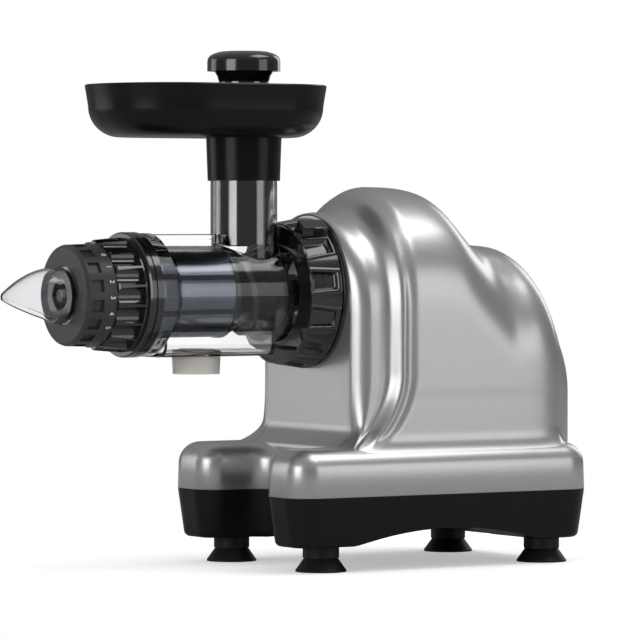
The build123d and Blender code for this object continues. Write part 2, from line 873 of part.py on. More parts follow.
# ---------------------------------------------------------------- drum cap, dial and nozzle
with BuildPart() as drum_cap:
    cap_bore = barrel_r + 2 * slip
    front_wall = -cap_front + cap_wall
    add(
        turned(
            [
                (-hub_front, outlet_r),
                (-hub_front, hub_r),
                (-hub_step, hub_r),
                (-hub_step, neck_r),
                (-cap_front, neck_r),
                (-cap_front, cap_r_front - 1),
                (-cap_front + 1, cap_r_front),
                (-cap_grip_back, cap_r_back),
                (-cap_grip_back, cap_flange_r - 1),
                (-cap_grip_back + 1, cap_flange_r),
                (-cap_grip_back + 3.4, cap_flange_r),
                (-cap_grip_back + 3.8, cap_flange_r - 0.8),
                (-cap_grip_back + 4.6, cap_flange_r - 0.8),
                (-cap_grip_back + 5, cap_flange_r),
                (-cap_back, cap_flange_r),
                (-cap_back, cap_bore),
                (front_wall, cap_bore),
                (front_wall, neck_bore),
                (-hub_front + 2.5, neck_bore),
                (-hub_front + 2.5, outlet_r),
            ]
        )
    )
    # Bayonet groove with its entry slots
    disc(-cap_groove_front, -cap_groove_back, cap_groove_r, mode=Mode.SUBTRACT)
    with BuildSketch(on_axis(-cap_groove_back)):
        with PolarLocations(cap_bore, lug_count, start_angle=90 + cap_unlock):
            Rectangle(2 * (cap_groove_r - cap_bore), lug_w + 2)
    extrude(amount=cap_groove_back - cap_back, mode=Mode.SUBTRACT)
    # Scalloped grips
    with BuildSketch(on_axis(-cap_front - 1)):
        with PolarLocations(cap_r_front + grip_r - grip_depth, grip_count):
            Circle(grip_r)
    extrude(amount=cap_front - cap_grip_back - 1, mode=Mode.SUBTRACT)
save(drum_cap.part, "drum_cap")

with BuildPart() as adjusting_dial:
    dial_rear = -cap_front - slip
    add(
        turned(
            [
                (-dial_front, neck_r + slip),
                (-dial_front, dial_r - 2),
                (-dial_front + 0.6, dial_r - 0.6),
                (-dial_front + 2, dial_r),
                (dial_rear, dial_r + 0.6),
                (dial_rear, dial_r - dial_wall),
                (-dial_front + dial_wall, dial_r - dial_wall),
                (-dial_front + dial_wall, neck_r + slip),
            ]
        )
    )
    # Rectangular finger notches ahead of the numbered band
    with BuildSketch(on_axis(-dial_front + dial_wall)):
        with PolarLocations(dial_r, dial_notches, start_angle=180 / dial_notches):
            Rectangle(2 * dial_notch_depth, notch_share * 2 * math.pi * dial_r / dial_notches)
    extrude(amount=dial_front - cap_front - dial_wall - dial_band, mode=Mode.SUBTRACT)
save(adjusting_dial.part, "adjusting_dial")


def hood_sections(inset):
    """Sections of the outlet hood: (station, half width, half height, middle height)."""
    reach = drum_reach - nozzle_root
    root = hub_r + slip + nozzle_wall
    drop = axis_z - nozzle_tip_z
    return [
        (-nozzle_root, root - inset, root - inset, axis_z),
        (-nozzle_root - 0.3 * reach, 0.93 * root - inset, 0.9 * root - inset, axis_z),
        (-nozzle_root - 0.65 * reach, 0.68 * root - inset, 0.62 * root - inset, axis_z - 0.2 * drop),
        (-drum_reach, 0.2 * root - inset / 3, 0.17 * root - inset / 3, nozzle_tip_z + 0.1 * root),
    ]


def hood(inset):
    """The outlet hood as a solid loft."""
    with BuildPart() as shape:
        for x, half_w, half_h, middle_z in hood_sections(inset):
            with BuildSketch(at(x)):
                with Locations((0, middle_z)):
                    Ellipse(half_w, half_h)
        loft()
    return shape.part


with BuildPart() as outlet_nozzle:
    nozzle_in = hub_r + slip
    disc(-nozzle_root, -hub_step - slip, nozzle_in + nozzle_wall)
    add(hood(0))
    disc(-nozzle_root, -hub_step, nozzle_in, mode=Mode.SUBTRACT)
    add(hood(nozzle_wall), mode=Mode.SUBTRACT)
    # Open underside, cut on a slope from the root to the tip
    root_z = axis_z - nozzle_in
    with BuildSketch(side_plane()):
        with BuildLine():
            Polyline(
                (-nozzle_root - 1, root_z + 1),
                (-drum_reach, nozzle_tip_z),
                (-drum_reach - 5, nozzle_tip_z),
                (-drum_reach - 5, root_z - 10),
                (-nozzle_root - 1, root_z - 10),
                close=True,
            )
        make_face()
    extrude(amount=nozzle_in * 2, both=True, mode=Mode.SUBTRACT)
save(outlet_nozzle.part, "outlet_nozzle")

# ---------------------------------------------------------------- hopper tray and pusher
def tray_block(inset, top_z, floor_z, edge_r):
    """Oval tray, narrower towards its floor, with a rounded floor edge."""
    lean = (rim_z - tray_floor_z) * math.tan(math.radians(tray_draft))
    top_inset = inset + lean * (rim_z - top_z) / (rim_z - tray_floor_z)
    floor_inset = inset + lean
    with BuildPart() as shape:
        for z, shrink in ((top_z, top_inset), (floor_z, floor_inset)):
            with BuildSketch(floor_plane(z)):
                with Locations((-chute_x - tray_shift, 0)):
                    RectangleRounded(tray_len - 2 * shrink, tray_w - 2 * shrink, tray_corner_r - shrink)
        loft()
        fillet(shape.faces().sort_by(Axis.Z)[0].edges(), edge_r)
    return shape.part


with BuildPart() as hopper_tray:
    add(tray_block(0, rim_z, tray_floor_z, tray_edge_r))
    add(tray_block(tray_wall, rim_z, tray_floor_z + tray_wall, tray_edge_r - tray_wall), mode=Mode.SUBTRACT)
    # Collar that slips over the chute, and the throat into it
    with BuildSketch(Plane(origin=(panel_x - chute_x, 0, 0), x_dir=(1, 0, 0), z_dir=(0, -1, 0))):
        with BuildLine():
            Polyline(
                (chute_r + slip, collar_bottom_z),
                (collar_bottom_r, collar_bottom_z),
                (collar_top_r, tray_floor_z),
                (collar_top_r, tray_floor_z + tray_wall),
                (chute_r - chute_wall, tray_floor_z + tray_wall),
                (chute_r - chute_wall, chute_top_z + fit),
                (chute_r + slip, chute_top_z + fit),
                close=True,
            )
        make_face()
    revolve(axis=Axis((panel_x - chute_x, 0, 0), (0, 0, 1)))
    post(-chute_x, 0, chute_top_z + fit, rim_z, chute_r - chute_wall, mode=Mode.SUBTRACT)
save(hopper_tray.part, "hopper_tray")

chute_line = Plane(origin=(panel_x - chute_x, 0, 0), x_dir=(1, 0, 0), z_dir=(0, -1, 0))
chute_axis = Axis((panel_x - chute_x, 0, 0), (0, 0, 1))

with BuildPart() as pusher_body:
    with BuildSketch(chute_line):
        with BuildLine():
            Polyline(
                (0, pusher_bottom_z),
                (pusher_r - 1, pusher_bottom_z),
                (pusher_r, pusher_bottom_z + 1),
                (pusher_r, pusher_shoulder_z),
                (waist_r, waist_z),
                (waist_r, knob_z - 7),
                (waist_r + 1.2, knob_z - 3),
                (waist_r + 3, knob_z),
                (knob_plug_r + fit, knob_z),
                (knob_plug_r + fit, waist_z),
                (pusher_r - pusher_wall, pusher_shoulder_z - pusher_wall),
                (pusher_r - pusher_wall, pusher_bottom_z + pusher_wall),
                (0, pusher_bottom_z + pusher_wall),
                close=True,
            )
        make_face()
    revolve(axis=chute_axis)
save(pusher_body.part, "pusher_body")

with BuildPart() as pusher_knob:
    knob_top = knob_z + knob_h
    with BuildSketch(chute_line):
        with BuildLine():
            rim = Polyline(
                (0, knob_z - knob_plug_len),
                (knob_plug_r, knob_z - knob_plug_len),
                (knob_plug_r, knob_z),
                (knob_r, knob_z),
                (knob_r, knob_z + 0.45 * knob_h),
            )
            Spline(
                rim @ 1,
                (0.8 * knob_r, knob_top - 0.1 * knob_h),
                (0, knob_top),
                tangents=((0, 1), (-1, 0)),
            )
            Line((0, knob_top), rim @ 0)
        make_face()
    revolve(axis=chute_axis)
save(pusher_knob.part, "pusher_knob")

# ---------------------------------------------------------------- gears and shafts
def gear(x0, width, teeth, module, y, z, turn):
    """Spur gear with stub involute teeth; one tooth points along the angle `turn`."""
    pitch_r = module * teeth / 2
    base_r = pitch_r * math.cos(math.radians(20))
    root_r = pitch_r - 1.15 * module
    tip_r = pitch_r + 0.8 * module

    def half_angle(r):
        pressure = math.acos(min(1, base_r / max(r, base_r)))
        involute = math.tan(pressure) - pressure
        pitch_involute = math.tan(math.radians(20)) - math.radians(20)
        return tooth_thin * math.pi / (2 * teeth) + pitch_involute - involute

    flank = [(r, half_angle(r)) for r in (root_r, max(root_r + 0.1 * module, base_r), pitch_r, tip_r)]
    tooth = [(r, -a) for r, a in flank] + [(r, a) for r, a in reversed(flank)]
    outline = []
    for index in range(teeth):
        middle = math.radians(turn + 360 * index / teeth)
        outline += [(r * math.cos(middle + a), r * math.sin(middle + a)) for r, a in tooth]
    with BuildPart() as blank:
        with BuildSketch(Plane(origin=(panel_x + x0, y, z), x_dir=(0, 1, 0), z_dir=(1, 0, 0))):
            with BuildLine():
                Polyline(*outline, close=True)
            make_face()
        extrude(amount=width)
    return blank.part


# Angles of the two lines of centres, seen from the back
out_line = math.degrees(math.atan2(idler_z - axis_z, idler_y))
in_line = math.degrees(math.atan2(motor_z - idler_z, -idler_y))

with BuildPart() as output_gear:
    add(gear(out_gear_x, out_gear_w, out_teeth, module_out, 0, axis_z, out_line))
    # Web thinned between hub and rim, with lightening holes
    web = out_gear_w / 3
    rim_in = module_out * out_teeth / 2 - 4 * module_out
    for x0, x1 in ((out_gear_x, out_gear_x + web), (out_gear_x + 2 * web, out_gear_x + out_gear_w)):
        with BuildSketch(on_axis(x0)):
            Circle(rim_in)
            Circle(2 * shaft_r, mode=Mode.SUBTRACT)
        extrude(amount=x1 - x0, mode=Mode.SUBTRACT)
    with BuildSketch(on_axis(out_gear_x)):
        with PolarLocations((rim_in + 2 * shaft_r) / 2, 6):
            Circle((rim_in - 2 * shaft_r) / 3)
    extrude(amount=out_gear_w, mode=Mode.SUBTRACT)
    disc(out_gear_x, out_gear_x + out_gear_w, shaft_r + fit, mode=Mode.SUBTRACT)
save(output_gear.part, "output_gear")

bearing_back = case_back - case_wall - 1
with BuildPart() as output_shaft:
    disc(-auger_hub_end + 0.5, bearing_back, shaft_r)
    with BuildSketch(on_axis(-auger_hub_end + 0.5)):
        RegularPolygon(hex_af / 2, 6, major_radius=False)
    extrude(amount=-hex_len - 0.5)
save(output_shaft.part, "output_shaft")

with BuildPart() as shaft_seal:
    disc(panel_inset, cover_front, out_bearing_r + 1 - fit)
    disc(panel_inset, cover_front, shaft_r + fit, mode=Mode.SUBTRACT)
save(shaft_seal.part, "shaft_seal")

with BuildPart() as idler_shaft:
    disc(cover_front + 3, bearing_back, idler_shaft_r, idler_y, idler_z)
    gap_turn = 180 + out_line + 180 / idler_small_teeth
    add(gear(small_gear_x, small_gear_w, idler_small_teeth, module_out, idler_y, idler_z, gap_turn))
save(idler_shaft.part, "idler_shaft")

with BuildPart() as idler_gear:
    gap_turn = in_line + 180 / idler_big_teeth
    add(gear(in_gear_x, in_gear_w, idler_big_teeth, module_in, idler_y, idler_z, gap_turn))
    disc(small_gear_x + small_gear_w, in_gear_x, 2 * idler_shaft_r, idler_y, idler_z)
    disc(small_gear_x, in_gear_x + in_gear_w, idler_shaft_r + fit, idler_y, idler_z, mode=Mode.SUBTRACT)
save(idler_gear.part, "idler_gear")

with BuildPart() as motor_pinion:
    add(gear(motor_gear_x, motor_gear_w, motor_teeth, module_in, 0, motor_z, 180 + in_line))
    disc(motor_gear_x, motor_gear_x + motor_gear_w, motor_shaft_r + fit, z=motor_z, mode=Mode.SUBTRACT)
save(motor_pinion.part, "motor_pinion")

bearings = {
    "output_bearing_front": (cover_front + 2, bearing_w, out_bearing_r, shaft_r, 0, axis_z),
    "output_bearing_rear": (bearing_back - bearing_w, bearing_w, out_bearing_r, shaft_r, 0, axis_z),
    "idler_bearing_front": (cover_front + 3, bearing_w, idler_bearing_r, idler_shaft_r, idler_y, idler_z),
    "idler_bearing_rear": (bearing_back - bearing_w, bearing_w, idler_bearing_r, idler_shaft_r, idler_y, idler_z),
    "motor_bearing_front": (case_back, bracket_t, motor_bearing_r, motor_shaft_r, 0, motor_z),
    "motor_bearing_rear": (
        stator_x + stator_len + bracket_rim - 2,
        bracket_t,
        motor_bearing_r,
        motor_shaft_r,
        0,
        motor_z,
    ),
}
for name, (x0, width, outer_r, inner_r, y, z) in bearings.items():
    with BuildPart() as bearing:
        disc(x0, x0 + width, outer_r - fit, y, z)
        disc(x0, x0 + width, inner_r + fit, y, z, mode=Mode.SUBTRACT)
        # Shallow grooves show the two races and the shield
        for face_x in (x0, x0 + width):
            with BuildSketch(Plane(origin=(panel_x + face_x, y, z), x_dir=(0, 1, 0), z_dir=(1, 0, 0))):
                Circle(inner_r + 0.75 * (outer_r - inner_r))
                Circle(inner_r + 0.25 * (outer_r - inner_r), mode=Mode.SUBTRACT)
            extrude(amount=0.5, both=True, mode=Mode.SUBTRACT)
    save(bearing.part, name)

# ---------------------------------------------------------------- gearbox
def hull_block(x0, x1, circles):
    """Prism round a few circles, each given by its place and radius."""
    with BuildPart() as shape:
        with BuildSketch(at(x0)):
            for y, z, r in circles:
                with Locations((y, z)):
                    Circle(r)
            make_hull()
        extrude(amount=x1 - x0)
    return shape.part


def gearbox_core(x0, x1, inset):
    """Body of the gearbox round the output and the motor shaft."""
    return hull_block(x0, x1, [(0, axis_z, out_case_r - inset), (0, motor_z, motor_case_r - inset)])


def gearbox_lobe(x0, x1, inset, idler_r):
    """The side of the body that takes in the idler; its far side ends inside the core."""
    inset_core = inset + lobe_sink
    circles = [
        (0, axis_z, out_case_r - inset_core),
        (idler_y, idler_z, idler_r - inset),
        (0, motor_z, motor_case_r - inset_core),
    ]
    return hull_block(x0, x1, circles)


ears = [
    (out_case_r * math.cos(math.radians(a)), axis_z + out_case_r * math.sin(math.radians(a)))
    for a in (8, 172, 215)
]
ears.append((idler_y, idler_z - idler_front_r - 1))
case_front = cover_front + cover_t
motor_bolts_spots = [
    (bolt_ring_r * math.cos(math.radians(a)), motor_z + bolt_ring_r * math.sin(math.radians(a)))
    for a in (45, 135, 225, 315)
]
step_x = small_gear_x + small_gear_w + case_wall

with BuildPart() as gearbox_cover:
    add(gearbox_core(cover_front, case_front, 0))
    add(gearbox_lobe(cover_front, case_front, 0, idler_front_r))
    for y, z in ears:
        disc(cover_front, case_front, ear_r, y, z)
    disc(case_front - 1, case_front + bearing_boss, socket_boss_r)
    disc(case_front - 1, case_front + bearing_boss, idler_bearing_r + case_wall, idler_y, idler_z)
    disc(cover_front, case_front + bearing_boss, shaft_r + 1, mode=Mode.SUBTRACT)
    disc(cover_front + 2, case_front + bearing_boss, out_bearing_r, mode=Mode.SUBTRACT)
    disc(cover_front + 3, case_front + bearing_boss, idler_bearing_r, idler_y, idler_z, mode=Mode.SUBTRACT)
    with BuildSketch(on_axis(cover_front)):
        with PolarLocations(socket_screw_ring, 4, start_angle=45):
            Circle(screw_r + fit)
    extrude(amount=cover_t + bearing_boss, mode=Mode.SUBTRACT)
    for y, z in ears:
        disc(cover_front, case_front, bolt_r + fit, y, z, mode=Mode.SUBTRACT)
        disc(cover_front, cover_front + 2.4, bolt_head_r + slip, y, z, mode=Mode.SUBTRACT)
save(gearbox_cover.part, "gearbox_cover")

with BuildPart() as gearbox_case:
    add(gearbox_core(case_front, case_back, 0))
    add(gearbox_lobe(case_front, step_x, 0, idler_front_r))
    add(gearbox_lobe(step_x, case_back, 0, idler_case_r))
    for y, z in ears:
        disc(case_front, case_front + ear_len, ear_r, y, z)
    add(gearbox_core(case_front, case_back - case_wall, case_wall), mode=Mode.SUBTRACT)
    add(gearbox_lobe(case_front, step_x + case_wall, case_wall, idler_front_r), mode=Mode.SUBTRACT)
    add(gearbox_lobe(step_x + case_wall, case_back - case_wall, case_wall, idler_case_r), mode=Mode.SUBTRACT)
    for y, z in ears:
        disc(case_front, case_front + ear_len, bolt_r + fit, y, z, mode=Mode.SUBTRACT)
    # Flange for the motor, bosses for the rear bearings, and the bores
    disc(case_back - case_wall, case_back, stator_r, z=motor_z)
    rear_x = bearing_back - bearing_w
    disc(rear_x, case_back - case_wall, out_bearing_r + case_wall)
    disc(rear_x, case_back - case_wall, idler_bearing_r + case_wall, idler_y, idler_z)
    disc(rear_x, bearing_back, out_bearing_r, mode=Mode.SUBTRACT)
    disc(rear_x, bearing_back, idler_bearing_r, idler_y, idler_z, mode=Mode.SUBTRACT)
    disc(rear_x, case_back, motor_bearing_r - 1, z=motor_z, mode=Mode.SUBTRACT)
    for y, z in motor_bolts_spots:
        disc(case_back - case_wall, case_back, bolt_r + fit, y, z, mode=Mode.SUBTRACT)
save(gearbox_case.part, "gearbox_case")

# ---------------------------------------------------------------- motor
bracket_back = stator_back + bracket_rim - 2 + bracket_t

with BuildPart() as motor_front_bracket:
    disc(case_back, stator_x, stator_r, z=motor_z)
    disc(case_back + bracket_t, stator_x, bolt_ring_r - 2.4, z=motor_z, mode=Mode.SUBTRACT)
    disc(case_back, stator_x, motor_bearing_r, z=motor_z, mode=Mode.SUBTRACT)
    for y, z in motor_bolts_spots:
        disc(case_back, stator_x, bolt_r + fit, y, z, mode=Mode.SUBTRACT)
    with BuildSketch(Plane(origin=(panel_x + case_back, 0, motor_z), x_dir=(0, 1, 0), z_dir=(1, 0, 0))):
        with PolarLocations((motor_bearing_r + bolt_ring_r) / 2, 4):
            SlotOverall(20, 9, rotation=90)
    extrude(amount=bracket_t, mode=Mode.SUBTRACT)
save(motor_front_bracket.part, "motor_front_bracket")

with BuildPart() as motor_rear_bracket:
    disc(stator_back, bracket_back, stator_r, z=motor_z)
    disc(stator_back, bracket_back - bracket_t, bolt_ring_r - 2.4, z=motor_z, mode=Mode.SUBTRACT)
    disc(stator_back, bracket_back, motor_bearing_r, z=motor_z, mode=Mode.SUBTRACT)
    for y, z in motor_bolts_spots:
        disc(stator_back, bracket_back, bolt_r + fit, y, z, mode=Mode.SUBTRACT)
    with BuildSketch(Plane(origin=(panel_x + bracket_back, 0, motor_z), x_dir=(0, 1, 0), z_dir=(1, 0, 0))):
        with PolarLocations((motor_bearing_r + bolt_ring_r) / 2, 4):
            SlotOverall(20, 9, rotation=90)
    extrude(amount=-bracket_t, mode=Mode.SUBTRACT)
save(motor_rear_bracket.part, "motor_rear_bracket")

with BuildPart() as stator:
    disc(stator_x, stator_back, stator_r, z=motor_z)
    disc(stator_x, stator_back, rotor_r + air_gap, z=motor_z, mode=Mode.SUBTRACT)
    for y, z in motor_bolts_spots:
        disc(stator_x, stator_back, bolt_r + fit, y, z, mode=Mode.SUBTRACT)
save(stator.part, "stator")

for name, x0 in (("front_winding", stator_x - coil_len), ("rear_winding", stator_back)):
    with BuildPart() as winding:
        disc(x0, x0 + coil_len, coil_out_r, z=motor_z)
        disc(x0, x0 + coil_len, coil_in_r, z=motor_z, mode=Mode.SUBTRACT)
        fillet(winding.edges().filter_by(GeomType.CIRCLE), coil_len / 3)
    save(winding.part, name)

with BuildPart() as rotor:
    disc(motor_gear_x, fan_x + fan_w + 2, motor_shaft_r, z=motor_z)
    disc(stator_x, stator_back, rotor_r, z=motor_z)
    for x0, x1 in ((stator_x - coil_len / 2, stator_x), (stator_back, stator_back + coil_len / 2)):
        disc(x0, x1, rotor_r - 2, z=motor_z)
save(rotor.part, "rotor")

with BuildPart() as cooling_fan:
    disc(fan_x, fan_x + fan_w, 3 * motor_shaft_r, z=motor_z)
    disc(fan_x, fan_x + 1.6, fan_r, z=motor_z)
    with BuildSketch(Plane(origin=(panel_x + fan_x, 0, motor_z), x_dir=(0, 1, 0), z_dir=(1, 0, 0))):
        with PolarLocations((fan_r + 2 * motor_shaft_r) / 2, fan_blades):
            Rectangle(fan_r - 2 * motor_shaft_r - 0.5, 1.6)
    extrude(amount=fan_w)
    disc(fan_x, fan_x + fan_w, motor_shaft_r + fit, z=motor_z, mode=Mode.SUBTRACT)
save(cooling_fan.part, "cooling_fan")

with BuildPart() as motor_bolts:
    for y, z in motor_bolts_spots:
        disc(case_back - case_wall, bracket_back + fit, bolt_r, y, z)
        disc(bracket_back + fit, bracket_back + 2.4, bolt_head_r, y, z)
        disc(bracket_back + 1.2, bracket_back + 2.4, bolt_r, y, z, mode=Mode.SUBTRACT)
save(motor_bolts.part, "motor_bolts")

# ---------------------------------------------------------------- cradle, isolators, capacitor
with BuildPart() as motor_cradle:
    cradle_x0 = cradle_posts[0] - 8
    cradle_x1 = cradle_posts[1] + 8
    block(cradle_x0, cradle_x1, -cradle_half_w, cradle_half_w, cradle_z, cradle_z + cradle_t)
    for x0 in (stator_x, stator_back - 2 * cradle_t):
        block(x0, x0 + 2 * cradle_t, -saddle_half_w, saddle_half_w, cradle_z, saddle_top_z)
    disc(cradle_x0, cradle_x1, stator_r + fit, z=motor_z, mode=Mode.SUBTRACT)
    for x, y in cradle_spots:
        post(x, y, cradle_z, cradle_z + cradle_t, screw_r + fit, mode=Mode.SUBTRACT)
save(motor_cradle.part, "motor_cradle")

for index, (x, y) in enumerate(cradle_spots, start=1):
    with BuildPart() as isolator:
        post(x, y, cradle_z - isolator_h, cradle_z, 1.4 * boss_r)
        post(x, y, cradle_z - isolator_h, cradle_z, screw_r + fit, mode=Mode.SUBTRACT)
    save(isolator.part, f"rubber_isolator_{index}")

with BuildPart() as cradle_screws:
    for x, y in cradle_spots:
        post(x, y, cradle_z - isolator_h - 8, cradle_z + cradle_t, screw_r)
        post(x, y, cradle_z + cradle_t, cradle_z + cradle_t + head_h, head_r)
save(cradle_screws.part, "cradle_screws")

with BuildPart() as run_capacitor:
    block(
        cap_x - cap_l / 2,
        cap_x + cap_l / 2,
        cap_y - cap_w / 2,
        cap_y + cap_w / 2,
        platform_z,
        platform_z + cap_h,
    )
    fillet(run_capacitor.edges().filter_by(Axis.Z), 3)
save(run_capacitor.part, "run_capacitor")

# ---------------------------------------------------------------- switch and gland on the back
hinge_x = housing_back - 2
bezel_t = 2.0
with BuildPart() as switch_body:
    block(
        housing_back - switch_depth,
        housing_back + fit,
        -switch_w / 2 + fit,
        switch_w / 2 - fit,
        switch_z - switch_h / 2 + fit,
        switch_z + switch_h / 2 - fit,
    )
    block(
        housing_back + fit,
        housing_back + fit + bezel_t,
        -switch_w / 2 - bezel_rim,
        switch_w / 2 + bezel_rim,
        switch_z - switch_h / 2 - bezel_rim,
        switch_z + switch_h / 2 + bezel_rim,
    )
    fillet(switch_body.faces().sort_by(Axis.X)[-1].edges(), 0.8)
    block(
        housing_back - switch_depth / 2,
        housing_back + 2 * bezel_t,
        -rocker_w / 2 - slip,
        rocker_w / 2 + slip,
        switch_z - rocker_h / 2 - 1.2,
        switch_z + rocker_h / 2 + 1.2,
        mode=Mode.SUBTRACT,
    )
    with Locations(Location((panel_x + hinge_x, 0, switch_z), (90, 0, 0))):
        Cylinder(1.2 + fit, switch_w - 2 * fit - 1.2, mode=Mode.SUBTRACT)
save(switch_body.part, "switch_body")

with BuildPart() as switch_rocker:
    with BuildSketch(side_plane()):
        with BuildLine():
            Polyline(
                (hinge_x - 3, switch_z - rocker_h / 2),
                (hinge_x + 3.4, switch_z - rocker_h / 2),
                (hinge_x + 2.2, switch_z),
                (hinge_x + 3.4, switch_z + rocker_h / 2),
                (hinge_x - 3, switch_z + rocker_h / 2),
                close=True,
            )
        make_face()
    extrude(amount=rocker_w / 2, both=True)
    with Locations(Location((panel_x + hinge_x, 0, switch_z), (90, 0, 0))):
        Cylinder(1.2 - fit, switch_w - 2 * fit - 1.6)
save(switch_rocker.part, "switch_rocker")

with BuildPart() as cord_gland:
    disc(gland_seat + fit, gland_seat + 2, gland_flange_r, gland_y, gland_z)
    disc(gland_seat - gland_pad - 3, gland_seat + fit, gland_r, gland_y, gland_z)
    disc(gland_seat - gland_pad - 3, gland_seat - gland_pad - fit, gland_r + 1, gland_y, gland_z)
    disc(gland_seat - gland_pad - 3, gland_seat + 2, gland_bore, gland_y, gland_z, mode=Mode.SUBTRACT)
save(cord_gland.part, "cord_gland")

# ---------------------------------------------------------------- screws
with BuildPart() as cover_screws:
    for y, z in ears:
        disc(cover_front + 0.2, cover_front + 2.4, bolt_head_r, y, z)
        disc(cover_front + 2.4, case_front + ear_len - 2, bolt_r, y, z)
save(cover_screws.part, "cover_screws")

with BuildPart() as socket_screws:
    seat_x = -drum_back + head_h + 2 * slip
    for index in range(4):
        turn = math.radians(45 + 90 * index)
        y = socket_screw_ring * math.cos(turn)
        z = axis_z + socket_screw_ring * math.sin(turn)
        disc(seat_x - head_h, seat_x, head_r, y, z)
        disc(seat_x, case_front + 3, screw_r, y, z)
        disc(seat_x - head_h, seat_x - head_h / 2, bolt_r, y, z, mode=Mode.SUBTRACT)
save(socket_screws.part, "socket_screws")

with BuildPart() as base_screws:
    for x, y in both_sides(base_screw_spots):
        post(x, y, screw_seat_z - head_h, screw_seat_z, head_r)
        post(x, y, screw_seat_z, parting_z + screw_len - 3, screw_r)
        post(x, y, screw_seat_z - head_h, screw_seat_z - head_h / 2, bolt_r, mode=Mode.SUBTRACT)
save(base_screws.part, "base_screws")
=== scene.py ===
import math

import bmesh
import bpy
from mathutils import Matrix, Vector


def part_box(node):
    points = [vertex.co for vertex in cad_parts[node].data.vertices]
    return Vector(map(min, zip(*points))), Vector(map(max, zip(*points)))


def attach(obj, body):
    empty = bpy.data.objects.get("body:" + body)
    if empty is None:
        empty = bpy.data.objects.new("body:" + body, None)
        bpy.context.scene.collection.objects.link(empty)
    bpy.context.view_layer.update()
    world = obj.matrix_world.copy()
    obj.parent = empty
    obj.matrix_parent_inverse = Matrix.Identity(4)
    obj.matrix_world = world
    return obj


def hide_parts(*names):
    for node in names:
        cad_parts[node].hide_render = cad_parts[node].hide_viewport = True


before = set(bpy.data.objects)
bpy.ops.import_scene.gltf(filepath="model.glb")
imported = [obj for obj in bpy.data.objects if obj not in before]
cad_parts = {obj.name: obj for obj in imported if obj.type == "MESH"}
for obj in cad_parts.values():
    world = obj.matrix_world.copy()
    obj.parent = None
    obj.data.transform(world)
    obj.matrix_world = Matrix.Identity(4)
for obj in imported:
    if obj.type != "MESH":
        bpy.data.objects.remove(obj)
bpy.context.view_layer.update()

# ---------------------------------------------------------------- camera
# A long lens on a stand at the height of the drum, looking along the machine from the nozzle end.
# It sees the clear drum, the tray and one whole side of the housing.
camera_data = bpy.data.cameras.new("studio_camera")
camera_data.sensor_width = 36
camera_data.lens = 261.17
camera_data.clip_end = 50
camera = bpy.data.objects.new("studio_camera", camera_data)
camera.location = (-1.57468, -2.59810, 0.22851)
turn, dip = math.radians(-31.79), math.radians(1.27)
sight = Vector((-math.sin(turn) * math.cos(dip), math.cos(turn) * math.cos(dip), -math.sin(dip)))
camera.rotation_euler = sight.to_track_quat("-Z", "Y").to_euler()
bpy.context.collection.objects.link(camera)
bpy.context.scene.camera = camera
bpy.context.scene.view_settings.view_transform = "Standard"


# ---------------------------------------------------------------- floor and studio
# A white sweep: close to the machine it takes a soft shadow, further out it is plain white.
# Around it hangs a pale tent with darker gaps between its softboxes, which gloss and metal reflect.
def node_tree(owner):
    """The empty node tree of a material or world."""
    owner.use_nodes = True
    tree = owner.node_tree
    tree.nodes.clear()
    return tree


def add_node(tree, kind, values=None, **settings):
    """A new node with its settings and the values of its unlinked inputs."""
    node = tree.nodes.new(kind)
    for key, value in settings.items():
        setattr(node, key, value)
    for key, value in (values or {}).items():
        node.inputs[key].default_value = value
    return node


def direct_view(tree, rays):
    """Mask of rays that come straight from the lens, also through clear plastic."""
    bounces = add_node(tree, "ShaderNodeMath", operation="ADD")
    unbounced = add_node(tree, "ShaderNodeMath", {0: 1.0}, operation="SUBTRACT", use_clamp=True)
    through = add_node(tree, "ShaderNodeMath", operation="MULTIPLY")
    direct = add_node(tree, "ShaderNodeMath", operation="MAXIMUM")
    tree.links.new(rays.outputs["Glossy Depth"], bounces.inputs[0])
    tree.links.new(rays.outputs["Diffuse Depth"], bounces.inputs[1])
    tree.links.new(bounces.outputs[0], unbounced.inputs[1])
    tree.links.new(unbounced.outputs[0], through.inputs[0])
    tree.links.new(rays.outputs["Is Transmission Ray"], through.inputs[1])
    tree.links.new(rays.outputs["Is Camera Ray"], direct.inputs[0])
    tree.links.new(through.outputs[0], direct.inputs[1])
    return direct


floor_mesh = bpy.data.meshes.new("floor")
floor_shape = bmesh.new()
bmesh.ops.create_grid(floor_shape, x_segments=8, y_segments=8, size=14)
floor_shape.to_mesh(floor_mesh)
floor_shape.free()
floor = bpy.data.objects.new("floor", floor_mesh)
bpy.context.collection.objects.link(floor)

floor_white = bpy.data.materials.new("floor_white")
tree = node_tree(floor_white)
place = add_node(tree, "ShaderNodeTexCoord")
stretch = add_node(tree, "ShaderNodeMapping", {"Location": (-0.03, 0.0, 0.0), "Scale": (1.0, 1.35, 1.0)})
from_middle = add_node(tree, "ShaderNodeVectorMath", operation="LENGTH")
whiten_span = {"From Min": 0.28, "From Max": 0.62}
whiten = add_node(tree, "ShaderNodeMapRange", whiten_span, interpolation_type="SMOOTHSTEP")
paper = add_node(tree, "ShaderNodeBsdfDiffuse", {"Color": (0.78, 0.78, 0.79, 1)})
glow = add_node(tree, "ShaderNodeEmission", {"Color": (1, 1, 1, 1), "Strength": 0.42})
lit = add_node(tree, "ShaderNodeAddShader")
white = add_node(tree, "ShaderNodeEmission", {"Color": (1, 1, 1, 1), "Strength": 1.0})
seen = add_node(tree, "ShaderNodeMixShader")
rays = add_node(tree, "ShaderNodeLightPath")
direct = direct_view(tree, rays)
bounce = add_node(tree, "ShaderNodeBsdfDiffuse", {"Color": (0.62, 0.62, 0.62, 1)})
choose = add_node(tree, "ShaderNodeMixShader")
out = add_node(tree, "ShaderNodeOutputMaterial")
links = tree.links
links.new(place.outputs["Object"], stretch.inputs["Vector"])
